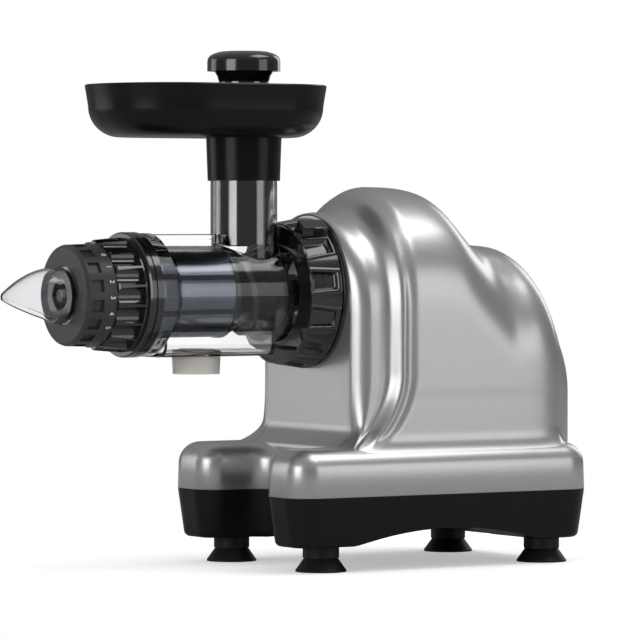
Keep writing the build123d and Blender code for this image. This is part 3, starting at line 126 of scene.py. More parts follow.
links.new(stretch.outputs[0], from_middle.inputs[0])
links.new(from_middle.outputs["Value"], whiten.inputs["Value"])
links.new(paper.outputs[0], lit.inputs[0])
links.new(glow.outputs[0], lit.inputs[1])
links.new(whiten.outputs[0], seen.inputs[0])
links.new(lit.outputs[0], seen.inputs[1])
links.new(white.outputs[0], seen.inputs[2])
links.new(direct.outputs[0], choose.inputs[0])
links.new(bounce.outputs[0], choose.inputs[1])
links.new(seen.outputs[0], choose.inputs[2])
links.new(choose.outputs[0], out.inputs["Surface"])
floor_mesh.materials.append(floor_white)

tent = bpy.data.worlds.new("tent")
bpy.context.scene.world = tent
tree = node_tree(tent)
direction = add_node(tree, "ShaderNodeTexCoord")
split = add_node(tree, "ShaderNodeSeparateXYZ")
rise = {"From Min": -0.1, "From Max": 0.9}
lit_by_height = add_node(tree, "ShaderNodeMapRange", {**rise, "To Min": 0.3, "To Max": 0.8})
gloss_by_height = add_node(tree, "ShaderNodeMapRange", {**rise, "To Min": 0.1, "To Max": 0.3})
tent_light = add_node(tree, "ShaderNodeBackground", {"Color": (1, 1, 1, 1)})
tent_gloss = add_node(tree, "ShaderNodeBackground", {"Color": (0.97, 0.985, 1, 1)})
backdrop = add_node(tree, "ShaderNodeBackground", {"Color": (1, 1, 1, 1), "Strength": 1.0})
rays = add_node(tree, "ShaderNodeLightPath")
direct = direct_view(tree, rays)
glossed = add_node(tree, "ShaderNodeMath", {1: 1.0}, operation="MINIMUM")
lit = add_node(tree, "ShaderNodeMixShader")
mix = add_node(tree, "ShaderNodeMixShader")
out = add_node(tree, "ShaderNodeOutputWorld")
links = tree.links
links.new(direction.outputs["Generated"], split.inputs[0])
links.new(split.outputs["Z"], lit_by_height.inputs["Value"])
links.new(lit_by_height.outputs[0], tent_light.inputs["Strength"])
links.new(split.outputs["Z"], gloss_by_height.inputs["Value"])
links.new(gloss_by_height.outputs[0], tent_gloss.inputs["Strength"])
links.new(rays.outputs["Glossy Depth"], glossed.inputs[0])
links.new(glossed.outputs[0], lit.inputs[0])
links.new(tent_light.outputs[0], lit.inputs[1])
links.new(tent_gloss.outputs[0], lit.inputs[2])
links.new(direct.outputs[0], mix.inputs[0])
links.new(lit.outputs[0], mix.inputs[1])
links.new(backdrop.outputs[0], mix.inputs[2])
links.new(mix.outputs[0], out.inputs["Surface"])


def softbox(name, location, aim, width, height, brightness):
    """A lit panel that faces the aim; brightness is the radiance that gloss reflects."""
    lamp = bpy.data.lights.new(name, "AREA")
    lamp.shape = "RECTANGLE"
    lamp.size, lamp.size_y = width, height
    lamp.energy = brightness * math.pi * width * height
    holder = bpy.data.objects.new(name, lamp)
    holder.location = location
    holder.rotation_euler = (Vector(aim) - Vector(location)).to_track_quat("-Z", "Y").to_euler()
    bpy.context.collection.objects.link(holder)
    return holder


softbox("top_softbox", (0.7, -0.5, 1.8), (0.05, 0, 0.15), 1.3, 0.9, 2.6)
softbox("side_softbox", (1.25, -1.95, 0.5), (0.1, 0, 0.15), 1.2, 1.3, 1.1)
softbox("nozzle_softbox", (-2.15, -0.7, 0.6), (-0.1, 0, 0.2), 1.2, 1.3, 2.5)
softbox("front_softbox", (-1.5, 1.9, 0.5), (0.0, 0, 0.15), 1.1, 1.2, 1.0)
softbox("back_softbox", (1.9, 0.9, 0.9), (0.15, 0, 0.15), 0.7, 1.1, 1.6)


# ---------------------------------------------------------------- base pan
# The lower tray of the housing, moulded in black ABS with a faint cool tint and a fine spark texture.
# Six screws hold it to the shell above, and it carries the feet and the motor cradle.
def noise_layer(tree, coords, scale, detail):
    """Cloud noise in the object's own space."""
    noise = add_node(tree, "ShaderNodeTexNoise", {"Scale": scale, "Detail": detail})
    tree.links.new(coords.outputs["Object"], noise.inputs["Vector"])
    return noise


def group_sockets(group, ins, outs):
    """Gives a node group its sockets and returns its input and output nodes."""
    for name, kind, value in ins:
        socket = group.interface.new_socket(name, in_out="INPUT", socket_type=kind)
        socket.default_value = value
    for name, kind in outs:
        group.interface.new_socket(name, in_out="OUTPUT", socket_type=kind)
    return group.nodes.new("NodeGroupInput"), group.nodes.new("NodeGroupOutput")


# Moulded skin: cloudy colour, uneven gloss and the fine grain that the mould's steel leaves.
moulded_skin = bpy.data.node_groups.new("moulded_skin", "ShaderNodeTree")
given, result = group_sockets(
    moulded_skin,
    [
        ("Colour", "NodeSocketColor", (0.5, 0.5, 0.5, 1)),
        ("Cloud", "NodeSocketFloat", 0.1),
        ("Gloss", "NodeSocketFloat", 0.3),
        ("Uneven", "NodeSocketFloat", 0.05),
        ("Grain Scale", "NodeSocketFloat", 1500.0),
    ],
    [("Colour", "NodeSocketColor"), ("Roughness", "NodeSocketFloat"), ("Height", "NodeSocketFloat")],
)
coords = add_node(moulded_skin, "ShaderNodeTexCoord")
cloud = noise_layer(moulded_skin, coords, 14, 3)
smear = noise_layer(moulded_skin, coords, 60, 4)
grain = add_node(moulded_skin, "ShaderNodeTexNoise", {"Detail": 1.0})
moulded_skin.links.new(coords.outputs["Object"], grain.inputs["Vector"])
moulded_skin.links.new(given.outputs["Grain Scale"], grain.inputs["Scale"])
cloud_from = add_node(moulded_skin, "ShaderNodeMath", {1: 0.5}, operation="SUBTRACT")
cloud_by = add_node(moulded_skin, "ShaderNodeMath", operation="MULTIPLY")
cloud_gain = add_node(moulded_skin, "ShaderNodeMath", {1: 1.0}, operation="ADD")
tinted = add_node(moulded_skin, "ShaderNodeVectorMath", operation="SCALE")
smear_from = add_node(moulded_skin, "ShaderNodeMath", {1: 0.5}, operation="SUBTRACT")
smear_by = add_node(moulded_skin, "ShaderNodeMath", operation="MULTIPLY")
gloss_sum = add_node(moulded_skin, "ShaderNodeMath", operation="ADD", use_clamp=True)
links = moulded_skin.links
links.new(cloud.outputs[0], cloud_from.inputs[0])
links.new(cloud_from.outputs[0], cloud_by.inputs[0])
links.new(given.outputs["Cloud"], cloud_by.inputs[1])
links.new(cloud_by.outputs[0], cloud_gain.inputs[0])
links.new(given.outputs["Colour"], tinted.inputs[0])
links.new(cloud_gain.outputs[0], tinted.inputs["Scale"])
links.new(tinted.outputs[0], result.inputs["Colour"])
links.new(smear.outputs[0], smear_from.inputs[0])
links.new(smear_from.outputs[0], smear_by.inputs[0])
links.new(given.outputs["Uneven"], smear_by.inputs[1])
links.new(smear_by.outputs[0], gloss_sum.inputs[0])
links.new(given.outputs["Gloss"], gloss_sum.inputs[1])
links.new(gloss_sum.outputs[0], result.inputs["Roughness"])
links.new(grain.outputs[0], result.inputs["Height"])


def place_group(tree, group, values):
    """Puts a node group into a tree with its own values."""
    node = tree.nodes.new("ShaderNodeGroup")
    node.node_tree = group
    for key, value in values.items():
        node.inputs[key].default_value = value
    return node


def finished(name, group, values, shader, strength, relief):
    """A material whose colour, roughness and relief come from one of the finish groups."""
    material = bpy.data.materials.new(name)
    tree = node_tree(material)
    surface = add_node(tree, "ShaderNodeBsdfPrincipled", shader)
    finish = place_group(tree, group, values)
    bump = add_node(tree, "ShaderNodeBump", {"Strength": strength, "Distance": relief})
    out = add_node(tree, "ShaderNodeOutputMaterial")
    tree.links.new(finish.outputs["Colour"], surface.inputs["Base Color"])
    tree.links.new(finish.outputs["Roughness"], surface.inputs["Roughness"])
    tree.links.new(finish.outputs["Height"], bump.inputs["Height"])
    tree.links.new(bump.outputs[0], surface.inputs["Normal"])
    tree.links.new(surface.outputs[0], out.inputs["Surface"])
    return material


def moulded(name, colour, gloss, uneven=0.06, cloud=0.15, grain=1500, relief=0.00002, shader=None):
    """A moulded plastic or rubber."""
    skin = {"Colour": (*colour, 1), "Cloud": cloud, "Gloss": gloss, "Uneven": uneven, "Grain Scale": grain}
    return finished(name, moulded_skin, skin, shader, 0.6, relief)


def dress(material, *nodes):
    """Gives CAD nodes their finish."""
    for node in nodes:
        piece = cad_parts[node]
        piece.data.materials.clear()
        piece.data.materials.append(material)


dull = {"Specular IOR Level": 0.22}
pan_black = moulded("pan_black", (0.0065, 0.0068, 0.009), 0.3, 0.08, 0.2, 1300, 0.00002, dull)
dress(pan_black, "base_pan")

# ---------------------------------------------------------------- feet and isolators
# Four suction feet in soft black rubber, snapped into the pan, and four rubber pads under the motor.
# Both are compression moulded, with a dull skin.
rubbery = {"Specular IOR Level": 0.4}
foot_rubber = moulded("foot_rubber", (0.007, 0.007, 0.0075), 0.5, 0.15, 0.3, 900, 0.00005, rubbery)
dress(foot_rubber, "suction_foot_1", "suction_foot_2", "suction_foot_3", "suction_foot_4")
dress(foot_rubber, "rubber_isolator_1", "rubber_isolator_2", "rubber_isolator_3", "rubber_isolator_4")
dress(foot_rubber, "drum_seal", "shaft_seal")

# ---------------------------------------------------------------- motor
# An induction motor: laminated steel stator with enamelled copper windings, a steel rotor,
# cast brackets, a plastic fan and a pressed cradle.

# Tool marks: fine lines and uneven gloss left by the lathe or the roll.
tool_marks = bpy.data.node_groups.new("tool_marks", "ShaderNodeTree")
given, result = group_sockets(
    tool_marks,
    [
        ("Colour", "NodeSocketColor", (0.5, 0.5, 0.5, 1)),
        ("Gloss", "NodeSocketFloat", 0.3),
        ("Pitch", "NodeSocketFloat", 1200.0),
    ],
    [("Colour", "NodeSocketColor"), ("Roughness", "NodeSocketFloat"), ("Height", "NodeSocketFloat")],
)
coords = add_node(tool_marks, "ShaderNodeTexCoord")
squeeze = add_node(tool_marks, "ShaderNodeMapping", {"Scale": (1.0, 0.03, 0.03)})
marks = add_node(tool_marks, "ShaderNodeTexNoise", {"Detail": 3.0})
blotch = noise_layer(tool_marks, coords, 35, 4)
tone = add_node(tool_marks, "ShaderNodeMapRange", {"To Min": 0.82, "To Max": 1.15})
tinted = add_node(tool_marks, "ShaderNodeVectorMath", operation="SCALE")
spread = add_node(tool_marks, "ShaderNodeMapRange", {"To Min": -0.08, "To Max": 0.1})
gloss_sum = add_node(tool_marks, "ShaderNodeMath", operation="ADD", use_clamp=True)
links = tool_marks.links
links.new(coords.outputs["Object"], squeeze.inputs["Vector"])
links.new(squeeze.outputs[0], marks.inputs["Vector"])
links.new(given.outputs["Pitch"], marks.inputs["Scale"])
links.new(blotch.outputs[0], tone.inputs["Value"])
links.new(given.outputs["Colour"], tinted.inputs[0])
links.new(tone.outputs[0], tinted.inputs["Scale"])
links.new(tinted.outputs[0], result.inputs["Colour"])
links.new(marks.outputs[0], spread.inputs["Value"])
links.new(spread.outputs[0], gloss_sum.inputs[0])
links.new(given.outputs["Gloss"], gloss_sum.inputs[1])
links.new(gloss_sum.outputs[0], result.inputs["Roughness"])
links.new(marks.outputs[0], result.inputs["Height"])


def metal(name, colour, gloss, pitch=1200, relief=0.00002):
    """A bare metal with tool marks."""
    marks = {"Colour": (*colour, 1), "Gloss": gloss, "Pitch": pitch}
    return finished(name, tool_marks, marks, {"Metallic": 1.0}, 0.5, relief)


lamination_steel = metal("lamination_steel", (0.34, 0.35, 0.37), 0.45, 2600, 0.00006)
turned_steel = metal("turned_steel", (0.62, 0.62, 0.63), 0.24)
cast_alloy = moulded("cast_alloy", (0.56, 0.57, 0.58), 0.42, 0.12, 0.2, 700, 0.00008, {"Metallic": 1.0})
winding_enamel = metal("winding_enamel", (0.55, 0.2, 0.07), 0.3, 900, 0.0002)
fan_plastic = moulded("fan_plastic", (0.02, 0.02, 0.022), 0.4)
dress(lamination_steel, "stator", "rotor")
dress(winding_enamel, "front_winding", "rear_winding")
dress(cast_alloy, "motor_front_bracket", "motor_rear_bracket")
dress(fan_plastic, "cooling_fan")
dress(turned_steel, "motor_bolts", "motor_bearing_front", "motor_bearing_rear", "motor_pinion")
dress(turned_steel, "motor_cradle", "cradle_screws")

# ---------------------------------------------------------------- capacitor
# A boxed film capacitor in pale moulded polyester, standing on a platform of the pan.
capacitor_shell = moulded("capacitor_shell", (0.62, 0.62, 0.6), 0.4)
dress(capacitor_shell, "run_capacitor")

# ---------------------------------------------------------------- gearbox
# Two die-cast halves round a two-stage reduction: acetal gears on steel shafts in ball bearings.
# Four screws close it, and four more through the drum socket hang it on the front panel.
acetal = moulded("acetal", (0.74, 0.7, 0.6), 0.38, 0.08, 0.1, 1100, 0.00003)
dress(cast_alloy, "gearbox_case", "gearbox_cover")
dress(acetal, "output_gear", "idler_gear")
dress(turned_steel, "idler_shaft", "output_shaft", "cover_screws", "socket_screws", "base_screws")
dress(turned_steel, "output_bearing_front", "output_bearing_rear")
dress(turned_steel, "idler_bearing_front", "idler_bearing_rear")

# ---------------------------------------------------------------- upper housing
# One large ABS moulding sprayed with silver paint under a satin lacquer: an arch over the gearbox,
# a rounded hump over the motor and two arms that run forward beside the jug.
silver_paint = bpy.data.materials.new("silver_paint")
tree = node_tree(silver_paint)
coords = add_node(tree, "ShaderNodeTexCoord")
flake = add_node(tree, "ShaderNodeTexVoronoi", {"Scale": 2300.0}, feature="F1")
haze = noise_layer(tree, coords, 900, 2)
tree.links.new(coords.outputs["Object"], flake.inputs["Vector"])
flake_tone = add_node(tree, "ShaderNodeSeparateColor")
tone = add_node(tree, "ShaderNodeMapRange", {"To Min": 0.955, "To Max": 1.045})
tint = add_node(tree, "ShaderNodeVectorMath", {0: (0.6, 0.6, 0.595)}, operation="SCALE")
gloss = add_node(tree, "ShaderNodeMapRange", {"To Min": 0.3, "To Max": 0.36})
skew = add_node(tree, "ShaderNodeBump", {"Strength": 0.05, "Distance": 0.00005})
surface = add_node(
    tree,
    "ShaderNodeBsdfPrincipled",
    {"Metallic": 0.88, "Coat Weight": 0.45, "Coat Roughness": 0.16, "Coat IOR": 1.45},
)
out = add_node(tree, "ShaderNodeOutputMaterial")
links = tree.links
links.new(flake.outputs["Color"], flake_tone.inputs[0])
links.new(flake_tone.outputs["Red"], tone.inputs["Value"])
links.new(tone.outputs[0], tint.inputs["Scale"])
links.new(tint.outputs[0], surface.inputs["Base Color"])
links.new(flake_tone.outputs["Green"], gloss.inputs["Value"])
links.new(gloss.outputs[0], surface.inputs["Roughness"])
links.new(haze.outputs[0], skew.inputs["Height"])
links.new(skew.outputs[0], surface.inputs["Normal"])
links.new(surface.outputs[0], out.inputs["Surface"])

# Back wall, front panel and the drum's axis
back_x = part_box("upper_housing")[1].x
panel_x = back_x - 0.1745
axis_z = 0.1786
# The arch over the gearbox: (distance behind the panel, half width, height over the drum's axis)
arch = [
    (0.0, 0.0530, 0.0525),
    (0.0008, 0.0552, 0.0528),
    (0.004, 0.0590, 0.0530),
    (0.010, 0.0625, 0.0530),
    (0.017, 0.0625, 0.0534),
    (0.024, 0.0670, 0.0570),
    (0.031, 0.0715, 0.0645),
    (0.042, 0.0720, 0.0698),
    (0.062, 0.0720, 0.0694),
    (0.080, 0.0720, 0.0659),
    (0.090, 0.0720, 0.0560),
    (0.104, 0.0720, 0.0410),
    (0.120, 0.0713, 0.0255),
    (0.128, 0.0698, 0.0140),
]
# The hump over the motor: (distance behind the panel, half width, height over the table)
hump = [
    (0.108, 0.0540, 0.1850),
    (0.116, 0.0640, 0.1990),
    (0.126, 0.0700, 0.2085),
    (0.137, 0.0715, 0.2094),
    (0.149, 0.0698, 0.2035),
    (0.160, 0.0634, 0.1881),
    (0.167, 0.0572, 0.1698),
    (0.171, 0.0540, 0.1525),
]
# Sections are measured by angle (degrees) from a line at core_z. Low down, arch and hump share one
# flat flank; higher up they meet in a soft scoop.
core_z, flank_start = 0.112, 0.090
flank_low, flank_fade = 15, 45
scoop_depth, scoop_low, scoop_fade = 0.026, 25, 40
# The skirt under the shell, with its rounded top edge, and the fillet where the shell stands on it
skirt_half_w, skirt_top, skirt_r, skirt_lean, skirt_foot = 0.0826, 0.0795, 0.014, 0.001, 0.0485
round_y, round_z = skirt_half_w - skirt_lean - skirt_r, skirt_top - skirt_r
flare_r, flare_front, flare_end, flare_fade = 0.017, 0.006, 0.150, 0.014
# Groove, ridge and groove round the collar: (distance behind the panel, half length, height)
bands = [(0.0232, 0.0036, -0.0024), (0.0290, 0.0032, 0.0012), (0.0352, 0.0038, -0.0012)]
band_foot, band_crown, crown_fade, crown_loss = 0.014, 0.175, 0.05, 0.85
# The collar's foot: a lip under the panel, then a sweep made of a long and a short part (run, rise)
lip_run, lip_rise = 0.010, 0.014
long_run, long_rise = 0.024, 0.048
short_run, short_rise = 0.005, 0.012
sweep_end, sweep_fade = 0.045, 0.065


def smooth(value):
    """Soft step from 0 to 1."""
    value = min(max(value, 0.0), 1.0)
    return value * value * (3 - 2 * value)


def curve_through(points):
    """Smooth curve through (place, value) points that never overshoots them."""
    slopes = [(b[1] - a[1]) / (b[0] - a[0]) for a, b in zip(points, points[1:])]
    tangents = [slopes[0]]
    for before, after in zip(slopes, slopes[1:]):
        tangents.append(2 * before * after / (before + after) if before * after > 0 else 0.0)
    tangents.append(slopes[-1])

    def value(place):
        index = 0
        while index < len(points) - 2 and place > points[index + 1][0]:
            index += 1
        (x0, y0), (x1, y1) = points[index], points[index + 1]
        length = x1 - x0
        t = min(max((place - x0) / length, 0.0), 1.0)
        start = y0 * (1 + 2 * t) * (1 - t) ** 2 + tangents[index] * length * t * (1 - t) ** 2
        return start + y1 * t * t * (3 - 2 * t) + tangents[index + 1] * length * t * t * (t - 1)

    return value


arch_w = curve_through([(x, w) for x, w, top in arch])
arch_top = curve_through([(x, axis_z + top) for x, w, top in arch])
hump_w = curve_through([(x, w) for x, w, top in hump])
hump_top = curve_through([(x, top) for x, w, top in hump])
flank = [(flank_start, 0.0720), (0.122, 0.0719), (0.137, 0.0715)] + [(x, w) for x, w, top in hump[4:]]
flank_w = curve_through(flank)


def wall_distance(angle, half_w, top):
    """Distance from the core line to an arch section with straight sides and a round crown."""
    side = half_w / max(math.cos(angle), 1e-6)
    if core_z + side * math.sin(angle) <= top - half_w:
        return side
    rise = core_z - top + half_w
    return math.sqrt(half_w**2 - (rise * math.cos(angle)) ** 2) - rise * math.sin(angle)


def shell_distance(station, angle):
    """Arch and hump together, with a soft scoop where they meet above the shoulder."""
    degrees = math.degrees(angle)
    low_down = 1 - smooth((degrees - flank_low) / flank_fade)
    near = far = 0.0
    if station <= arch[-1][0]:
        half_w = arch_w(station)
        if station > flank_start:
            half_w += (flank_w(station) - half_w) * low_down
        near = wall_distance(angle, half_w, arch_top(station))
    if station >= hump[0][0]:
        half_w = hump_w(station)
        half_w += (flank_w(station) - half_w) * low_down
        far = wall_distance(angle, half_w, max(hump_top(station), core_z + half_w))
    scoop = scoop_depth * smooth((degrees - scoop_low) / scoop_fade)
    if near and far and scoop:
        overlap = max(scoop - abs(near - far), 0.0) / scoop
        return max(near, far) + overlap * overlap * scoop / 4
    return max(near, far)


def relax(rows):
    """Averages each row with its neighbours and keeps the two end rows."""
    inner = [[(a + 2 * b + c) / 4 for a, b, c in zip(*trio)] for trio in zip(rows, rows[1:], rows[2:])]
    return rows[:1] + inner + rows[-1:]


def band_height(station, z):
    """Groove and ridge round the collar, dying out towards the crown and at the foot."""
    fade = (1 - crown_loss * smooth((z - band_crown) / crown_fade)) * smooth((z - skirt_top) / band_foot)
    return fade * sum(h * math.exp(-(((station - x) / length) ** 2)) for x, length, h in bands)


def sweep(station, z):
    """How far the collar's foot runs forward on to the deck, and behind the groove on to the arms."""
    height = max(z - skirt_top, 0.0)
    lip = lip_run * max(1 - height / lip_rise, 0.0) ** 2
    run = long_run * max(1 - height / long_rise, 0.0) ** 2
    run += short_run * max(1 - height / short_rise, 0.0) ** 2
    share = min(station / bands[0][0], 1.0)
    return (lip + (run - lip) * share) * (1 - smooth((station - sweep_end) / sweep_fade))


def section(station, distances):
    """Points of one section, from the far foot over the crown to the near foot."""
    half_w = distances[0]
    fade = smooth(station / flare_front) * (1 - smooth((station - flare_end) / flare_fade))
    flare = max(flare_r * fade, 1e-5)
    centre_z, foot_z = skirt_top + flare, skirt_top
    if half_w + flare > round_y:
        centre_z = round_z + math.sqrt((skirt_r + flare) ** 2 - (half_w + flare - round_y) ** 2)
        foot_z = round_z + (centre_z - round_z) * skirt_r / (skirt_r + flare)
    side = []
    for row in range(side_rows + 1):
        z = foot_z + (core_z - foot_z) * (row / side_rows) ** row_crowding
        y = half_w + band_height(station, z)
        if z < centre_z:
            y += flare - math.sqrt(max(flare**2 - (centre_z - z) ** 2, 0.0))
        side.append((y, z))
    side.insert(0, (side[0][0] - tuck_in, foot_z - tuck_down))
    for angle, distance in zip(angles[1:], distances[1:]):
        distance += band_height(station, core_z + distance * math.sin(angle))
        side.append((distance * math.cos(angle), core_z + distance * math.sin(angle)))
    whole = side + [(-y, z) for y, z in reversed(side[:-1])]
    return [Vector((panel_x + station - sweep(station, z), y, z)) for y, z in whole]


def opening_ring(depth, radius):
    """A ring of the opening for the front panel, with as many points as a section."""
    points = []
    for point in section(0.0, shell[0]):
        angle = max(math.atan2(point.z - axis_z, abs(point.y)), 0.0)
        y = math.copysign(radius * math.cos(angle), point.y) if abs(point.y) > 1e-6 else 0.0
        z = axis_z + radius * math.sin(angle) if angle > 0 else point.z
        points.append(Vector((panel_x + depth - sweep(0.0, z), y, z)))
    return points


def skirt_outline(inset):
    """Plan of the skirt: a rounded block with a gap between its two front arms, clockwise."""
    front, back = panel_x - arm_len + inset, back_x - inset
    half, gap, notch = skirt_half_w - inset, gap_half_w + inset, panel_x - deck_len + inset
    arm, rear, inner = arm_r - inset, rear_r - inset, arm_r + inset
    corners = [
        (front, half, arm),
        (back, half, rear),
        (back, gland_y + gland_patch, 0),
        (back, gland_y - gland_patch, 0),
        (back, -half, rear),
        (front, -half, arm),
        (front, -gap, arm),
        (notch, -gap, inner),
        (notch, gap, inner),
        (front, gap, arm),
    ]
    points = []
    for index, (x, y, radius) in enumerate(corners):
        here = Vector((x, y))
        if not radius:
            points.append(here)
            continue
        before = (Vector(corners[index - 1][:2]) - here).normalized()
        after = (Vector(corners[(index + 1) % len(corners)][:2]) - here).normalized()
        centre = here + (before + after) * radius
        for step in range(corner_steps + 1):
            turn = math.radians(90 * step / corner_steps)
            points.append(centre - after * radius * math.cos(turn) - before * radius * math.sin(turn))
    return points


def fill_between(shape, outer, inner, normal):
    """Flat face between two closed loops of vertices."""
    edges = []
    for loop in (outer, inner):
        for a, b in zip(loop, loop[1:] + loop[:1]):
            edges.append(shape.edges.get((a, b)) or shape.edges.new((a, b)))
    bmesh.ops.triangle_fill(shape, use_beauty=True, use_dissolve=False, edges=edges, normal=normal)


def open_strip(shape, row_a, row_b):
    """Quads between two open rows of vertices."""
    for j in range(len(row_a) - 1):
        shape.faces.new((row_a[j], row_a[j + 1], row_b[j + 1], row_b[j]))


def closed_strip(shape, loop_a, loop_b):
    """Quads between two closed loops of vertices."""
    for j in range(len(loop_a)):
        shape.faces.new((loop_a[j - 1], loop_a[j], loop_b[j], loop_b[j - 1]))


def as_piece(name, shape, finish):
    """Turns a built shape into a smooth-shaded object with its finish."""
    for face in shape.faces:
        face.smooth = True
    mesh = bpy.data.meshes.new(name)
    shape.to_mesh(mesh)
    shape.free()
    mesh.materials.append(finish)
    piece = bpy.data.objects.new(name, mesh)
    bpy.context.collection.objects.link(piece)
    return piece


# Sections: close together over the collar, wider over arch and hump, then smoothed both ways.
# Each ends in a flap tucked under the skirt's top, so that no gap shows.
side_rows, crown_rows, row_crowding = 18, 40, 1.5
tuck_in, tuck_down = 0.004, 0.0175
collar_steps, collar_step, shell_steps = 57, 0.0008, 62
smooth_along, smooth_across = 10, 4
angles = [math.radians(90 * row / crown_rows) for row in range(crown_rows + 1)]
stations = [collar_step * step for step in range(collar_steps)]
collar_end, shell_end = stations[-1], hump[-1][0]
for step in range(1, shell_steps + 1):
    stations.append(collar_end + (shell_end - collar_end) * step / shell_steps)
shell = [[shell_distance(station, angle) for angle in angles] for station in stations]
for _ in range(smooth_along):
    shell = relax(shell)
columns = list(zip(*shell))
for _ in range(smooth_across):
    columns = relax(columns)
shell = list(zip(*columns))

# Opening for the front panel: (depth, radius) of its rings, with a rounded front edge
opening_r, panel_seat = 0.051, 0.0034
opening = [(panel_seat, opening_r), (0.0009, opening_r), (0.0002, 0.0514), (0.0, 0.0521)]
shape = bmesh.new()
rings = [opening_ring(depth, radius) for depth, radius in opening]
rings += [section(station, distances) for station, distances in zip(stations, shell)]
verts = [[shape.verts.new(point) for point in ring] for ring in rings]
for ring_a, ring_b in zip(verts, verts[1:]):
    open_strip(shape, ring_a, ring_b)
# Back wall with the opening for the switch
rim = [shape.verts.new(vert.co) for vert in verts[-1]]
switch_y, switch_z0, switch_z1 = 0.0105, 0.103, 0.133
spots = [(-switch_y, switch_z0), (switch_y, switch_z0), (switch_y, switch_z1), (-switch_y, switch_z1)]
slot_rim = [shape.verts.new((rim[0].co.x, y, z)) for y, z in spots]
fill_between(shape, rim, slot_rim, (1, 0, 0))

# Skirt: (inset, height) of its rings, from the lip at the parting line over the round to the top
arm_len, deck_len, gap_half_w = 0.0575, 0.012, 0.034
arm_r, rear_r, corner_steps, round_steps = 0.017, 0.021, 12, 9
# The cord gland's seat: its centre and radius, half the width of the patch round it, and its floor
gland_y, gland_z, gland_r, gland_patch, gland_floor = -0.042, 0.0585, 0.00905, 0.014, 0.1713
levels = [(0.006, 0.062), (0.003, skirt_foot), (0.0004, skirt_foot), (0.0, skirt_foot + 0.0005)]
levels.append((skirt_lean / 2, round_z))
for step in range(1, round_steps + 1):
    turn = math.radians(90 * step / round_steps)
    inset = skirt_lean / 2 * (1 + step / round_steps) + skirt_r * (1 - math.cos(turn))
    levels.append((inset, round_z + skirt_r * math.sin(turn)))
plan = [[shape.verts.new((p.x, p.y, z)) for p in skirt_outline(inset)] for inset, z in levels]
gland_column, low, high = 2 * (corner_steps + 1), 3, 6
for level, (lower, upper) in enumerate(zip(plan, plan[1:])):
    for j in range(len(lower)):
        if j == gland_column and low <= level < high:
            continue
        k = (j + 1) % len(lower)
        shape.faces.new((lower[j], upper[j], upper[k], lower[k]))
# Round recess for the cord gland in the back
inset_at = curve_through([(z, inset) for inset, z in levels[3:]])
gland_steps, mouth = 40, []
for step in range(gland_steps):
    turn = 2 * math.pi * step / gland_steps
    z = gland_z + gland_r * math.sin(turn)
    mouth.append(shape.verts.new((back_x - inset_at(z), gland_y + gland_r * math.cos(turn), z)))
patch_edge = [plan[level][gland_column] for level in range(low, high + 1)]
patch_edge += [plan[level][gland_column + 1] for level in range(high, low - 1, -1)]
fill_between(shape, patch_edge, mouth, (1, 0, 0))
gland_seat = [shape.verts.new((panel_x + gland_floor, vert.co.y, vert.co.z)) for vert in mouth]
closed_strip(shape, gland_seat, mouth)
# Flat top, open under the shell
well_front, well_back, well_half_w = 0.012, 0.150, 0.045
corners = [(well_front, -1), (well_back, -1), (well_back, 1), (well_front, 1)]
well = [shape.verts.new((panel_x + x, side * well_half_w, skirt_top)) for x, side in corners]
fill_between(shape, plan[-1], well, (0, 0, 1))
housing_shell = as_piece("housing_shell", shape, silver_paint)
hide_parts("upper_housing")
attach(housing_shell, "juicer_body")

# ---------------------------------------------------------------- front panel
# A flat plate in the same silver paint, let into the collar. Its foot sweeps forward on to the deck
# between the arms, and the drum socket covers the bore in its middle.
plate_r, bore_r, plate_x, wall_x = opening_r - 0.00015, 0.030, panel_x + 0.0005, panel_x + panel_seat
waist_z, below_deck = skirt_top + lip_rise, [-0.003, -0.008]
arc_steps, half_waist_steps, upright_steps, lip_steps = 64, 16, 8, 20
turns = [math.pi * step / arc_steps for step in range(arc_steps + 1)]
arc = [(plate_r * math.cos(turn), axis_z + plate_r * math.sin(turn)) for turn in turns]
waist = [(plate_r * (step / half_waist_steps - 1), waist_z) for step in range(2 * half_waist_steps + 1)]
fall = waist_z - axis_z
upright = [(plate_r, axis_z + fall * step / upright_steps) for step in range(1, upright_steps)]
outline = arc + [(-y, z) for y, z in upright] + waist + upright[::-1]
waist_start, waist_end = len(arc) + len(upright), len(outline) - len(upright)
shape = bmesh.new()
rim = [shape.verts.new((plate_x, y, z)) for y, z in outline]
turns = [math.atan2(z - axis_z, y) for y, z in outline]
bore = [(plate_x, bore_r * math.cos(turn), axis_z + bore_r * math.sin(turn)) for turn in turns]
bore = [shape.verts.new(point) for point in bore]
closed_strip(shape, bore, rim)
# The rim's wall has corners of its own, so that the plate's edge stays crisp
wall = outline[waist_end - 1:] + outline[:waist_start + 1]
front_wall, back_wall = ([shape.verts.new((x, y, z)) for y, z in wall] for x in (plate_x, wall_x))
open_strip(shape, front_wall, back_wall)
above = rim[waist_start:waist_end]
for height in [lip_rise * (1 - step / lip_steps) for step in range(1, lip_steps + 1)] + below_deck:
    z = skirt_top + height
    row = [shape.verts.new((plate_x - sweep(0.0, z), y, z)) for y, _ in waist]
    open_strip(shape, above, row)
    above = row
panel_plate = as_piece("panel_plate", shape, silver_paint)
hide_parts("front_panel")
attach(panel_plate, "juicer_body")

# ---------------------------------------------------------------- switch and cord gland
# A snap-in rocker switch and a plain cable gland in black polyamide, both on the back.
switch_black = moulded("switch_black", (0.015, 0.015, 0.016), 0.28)
dress(switch_black, "switch_body", "switch_rocker", "cord_gland")

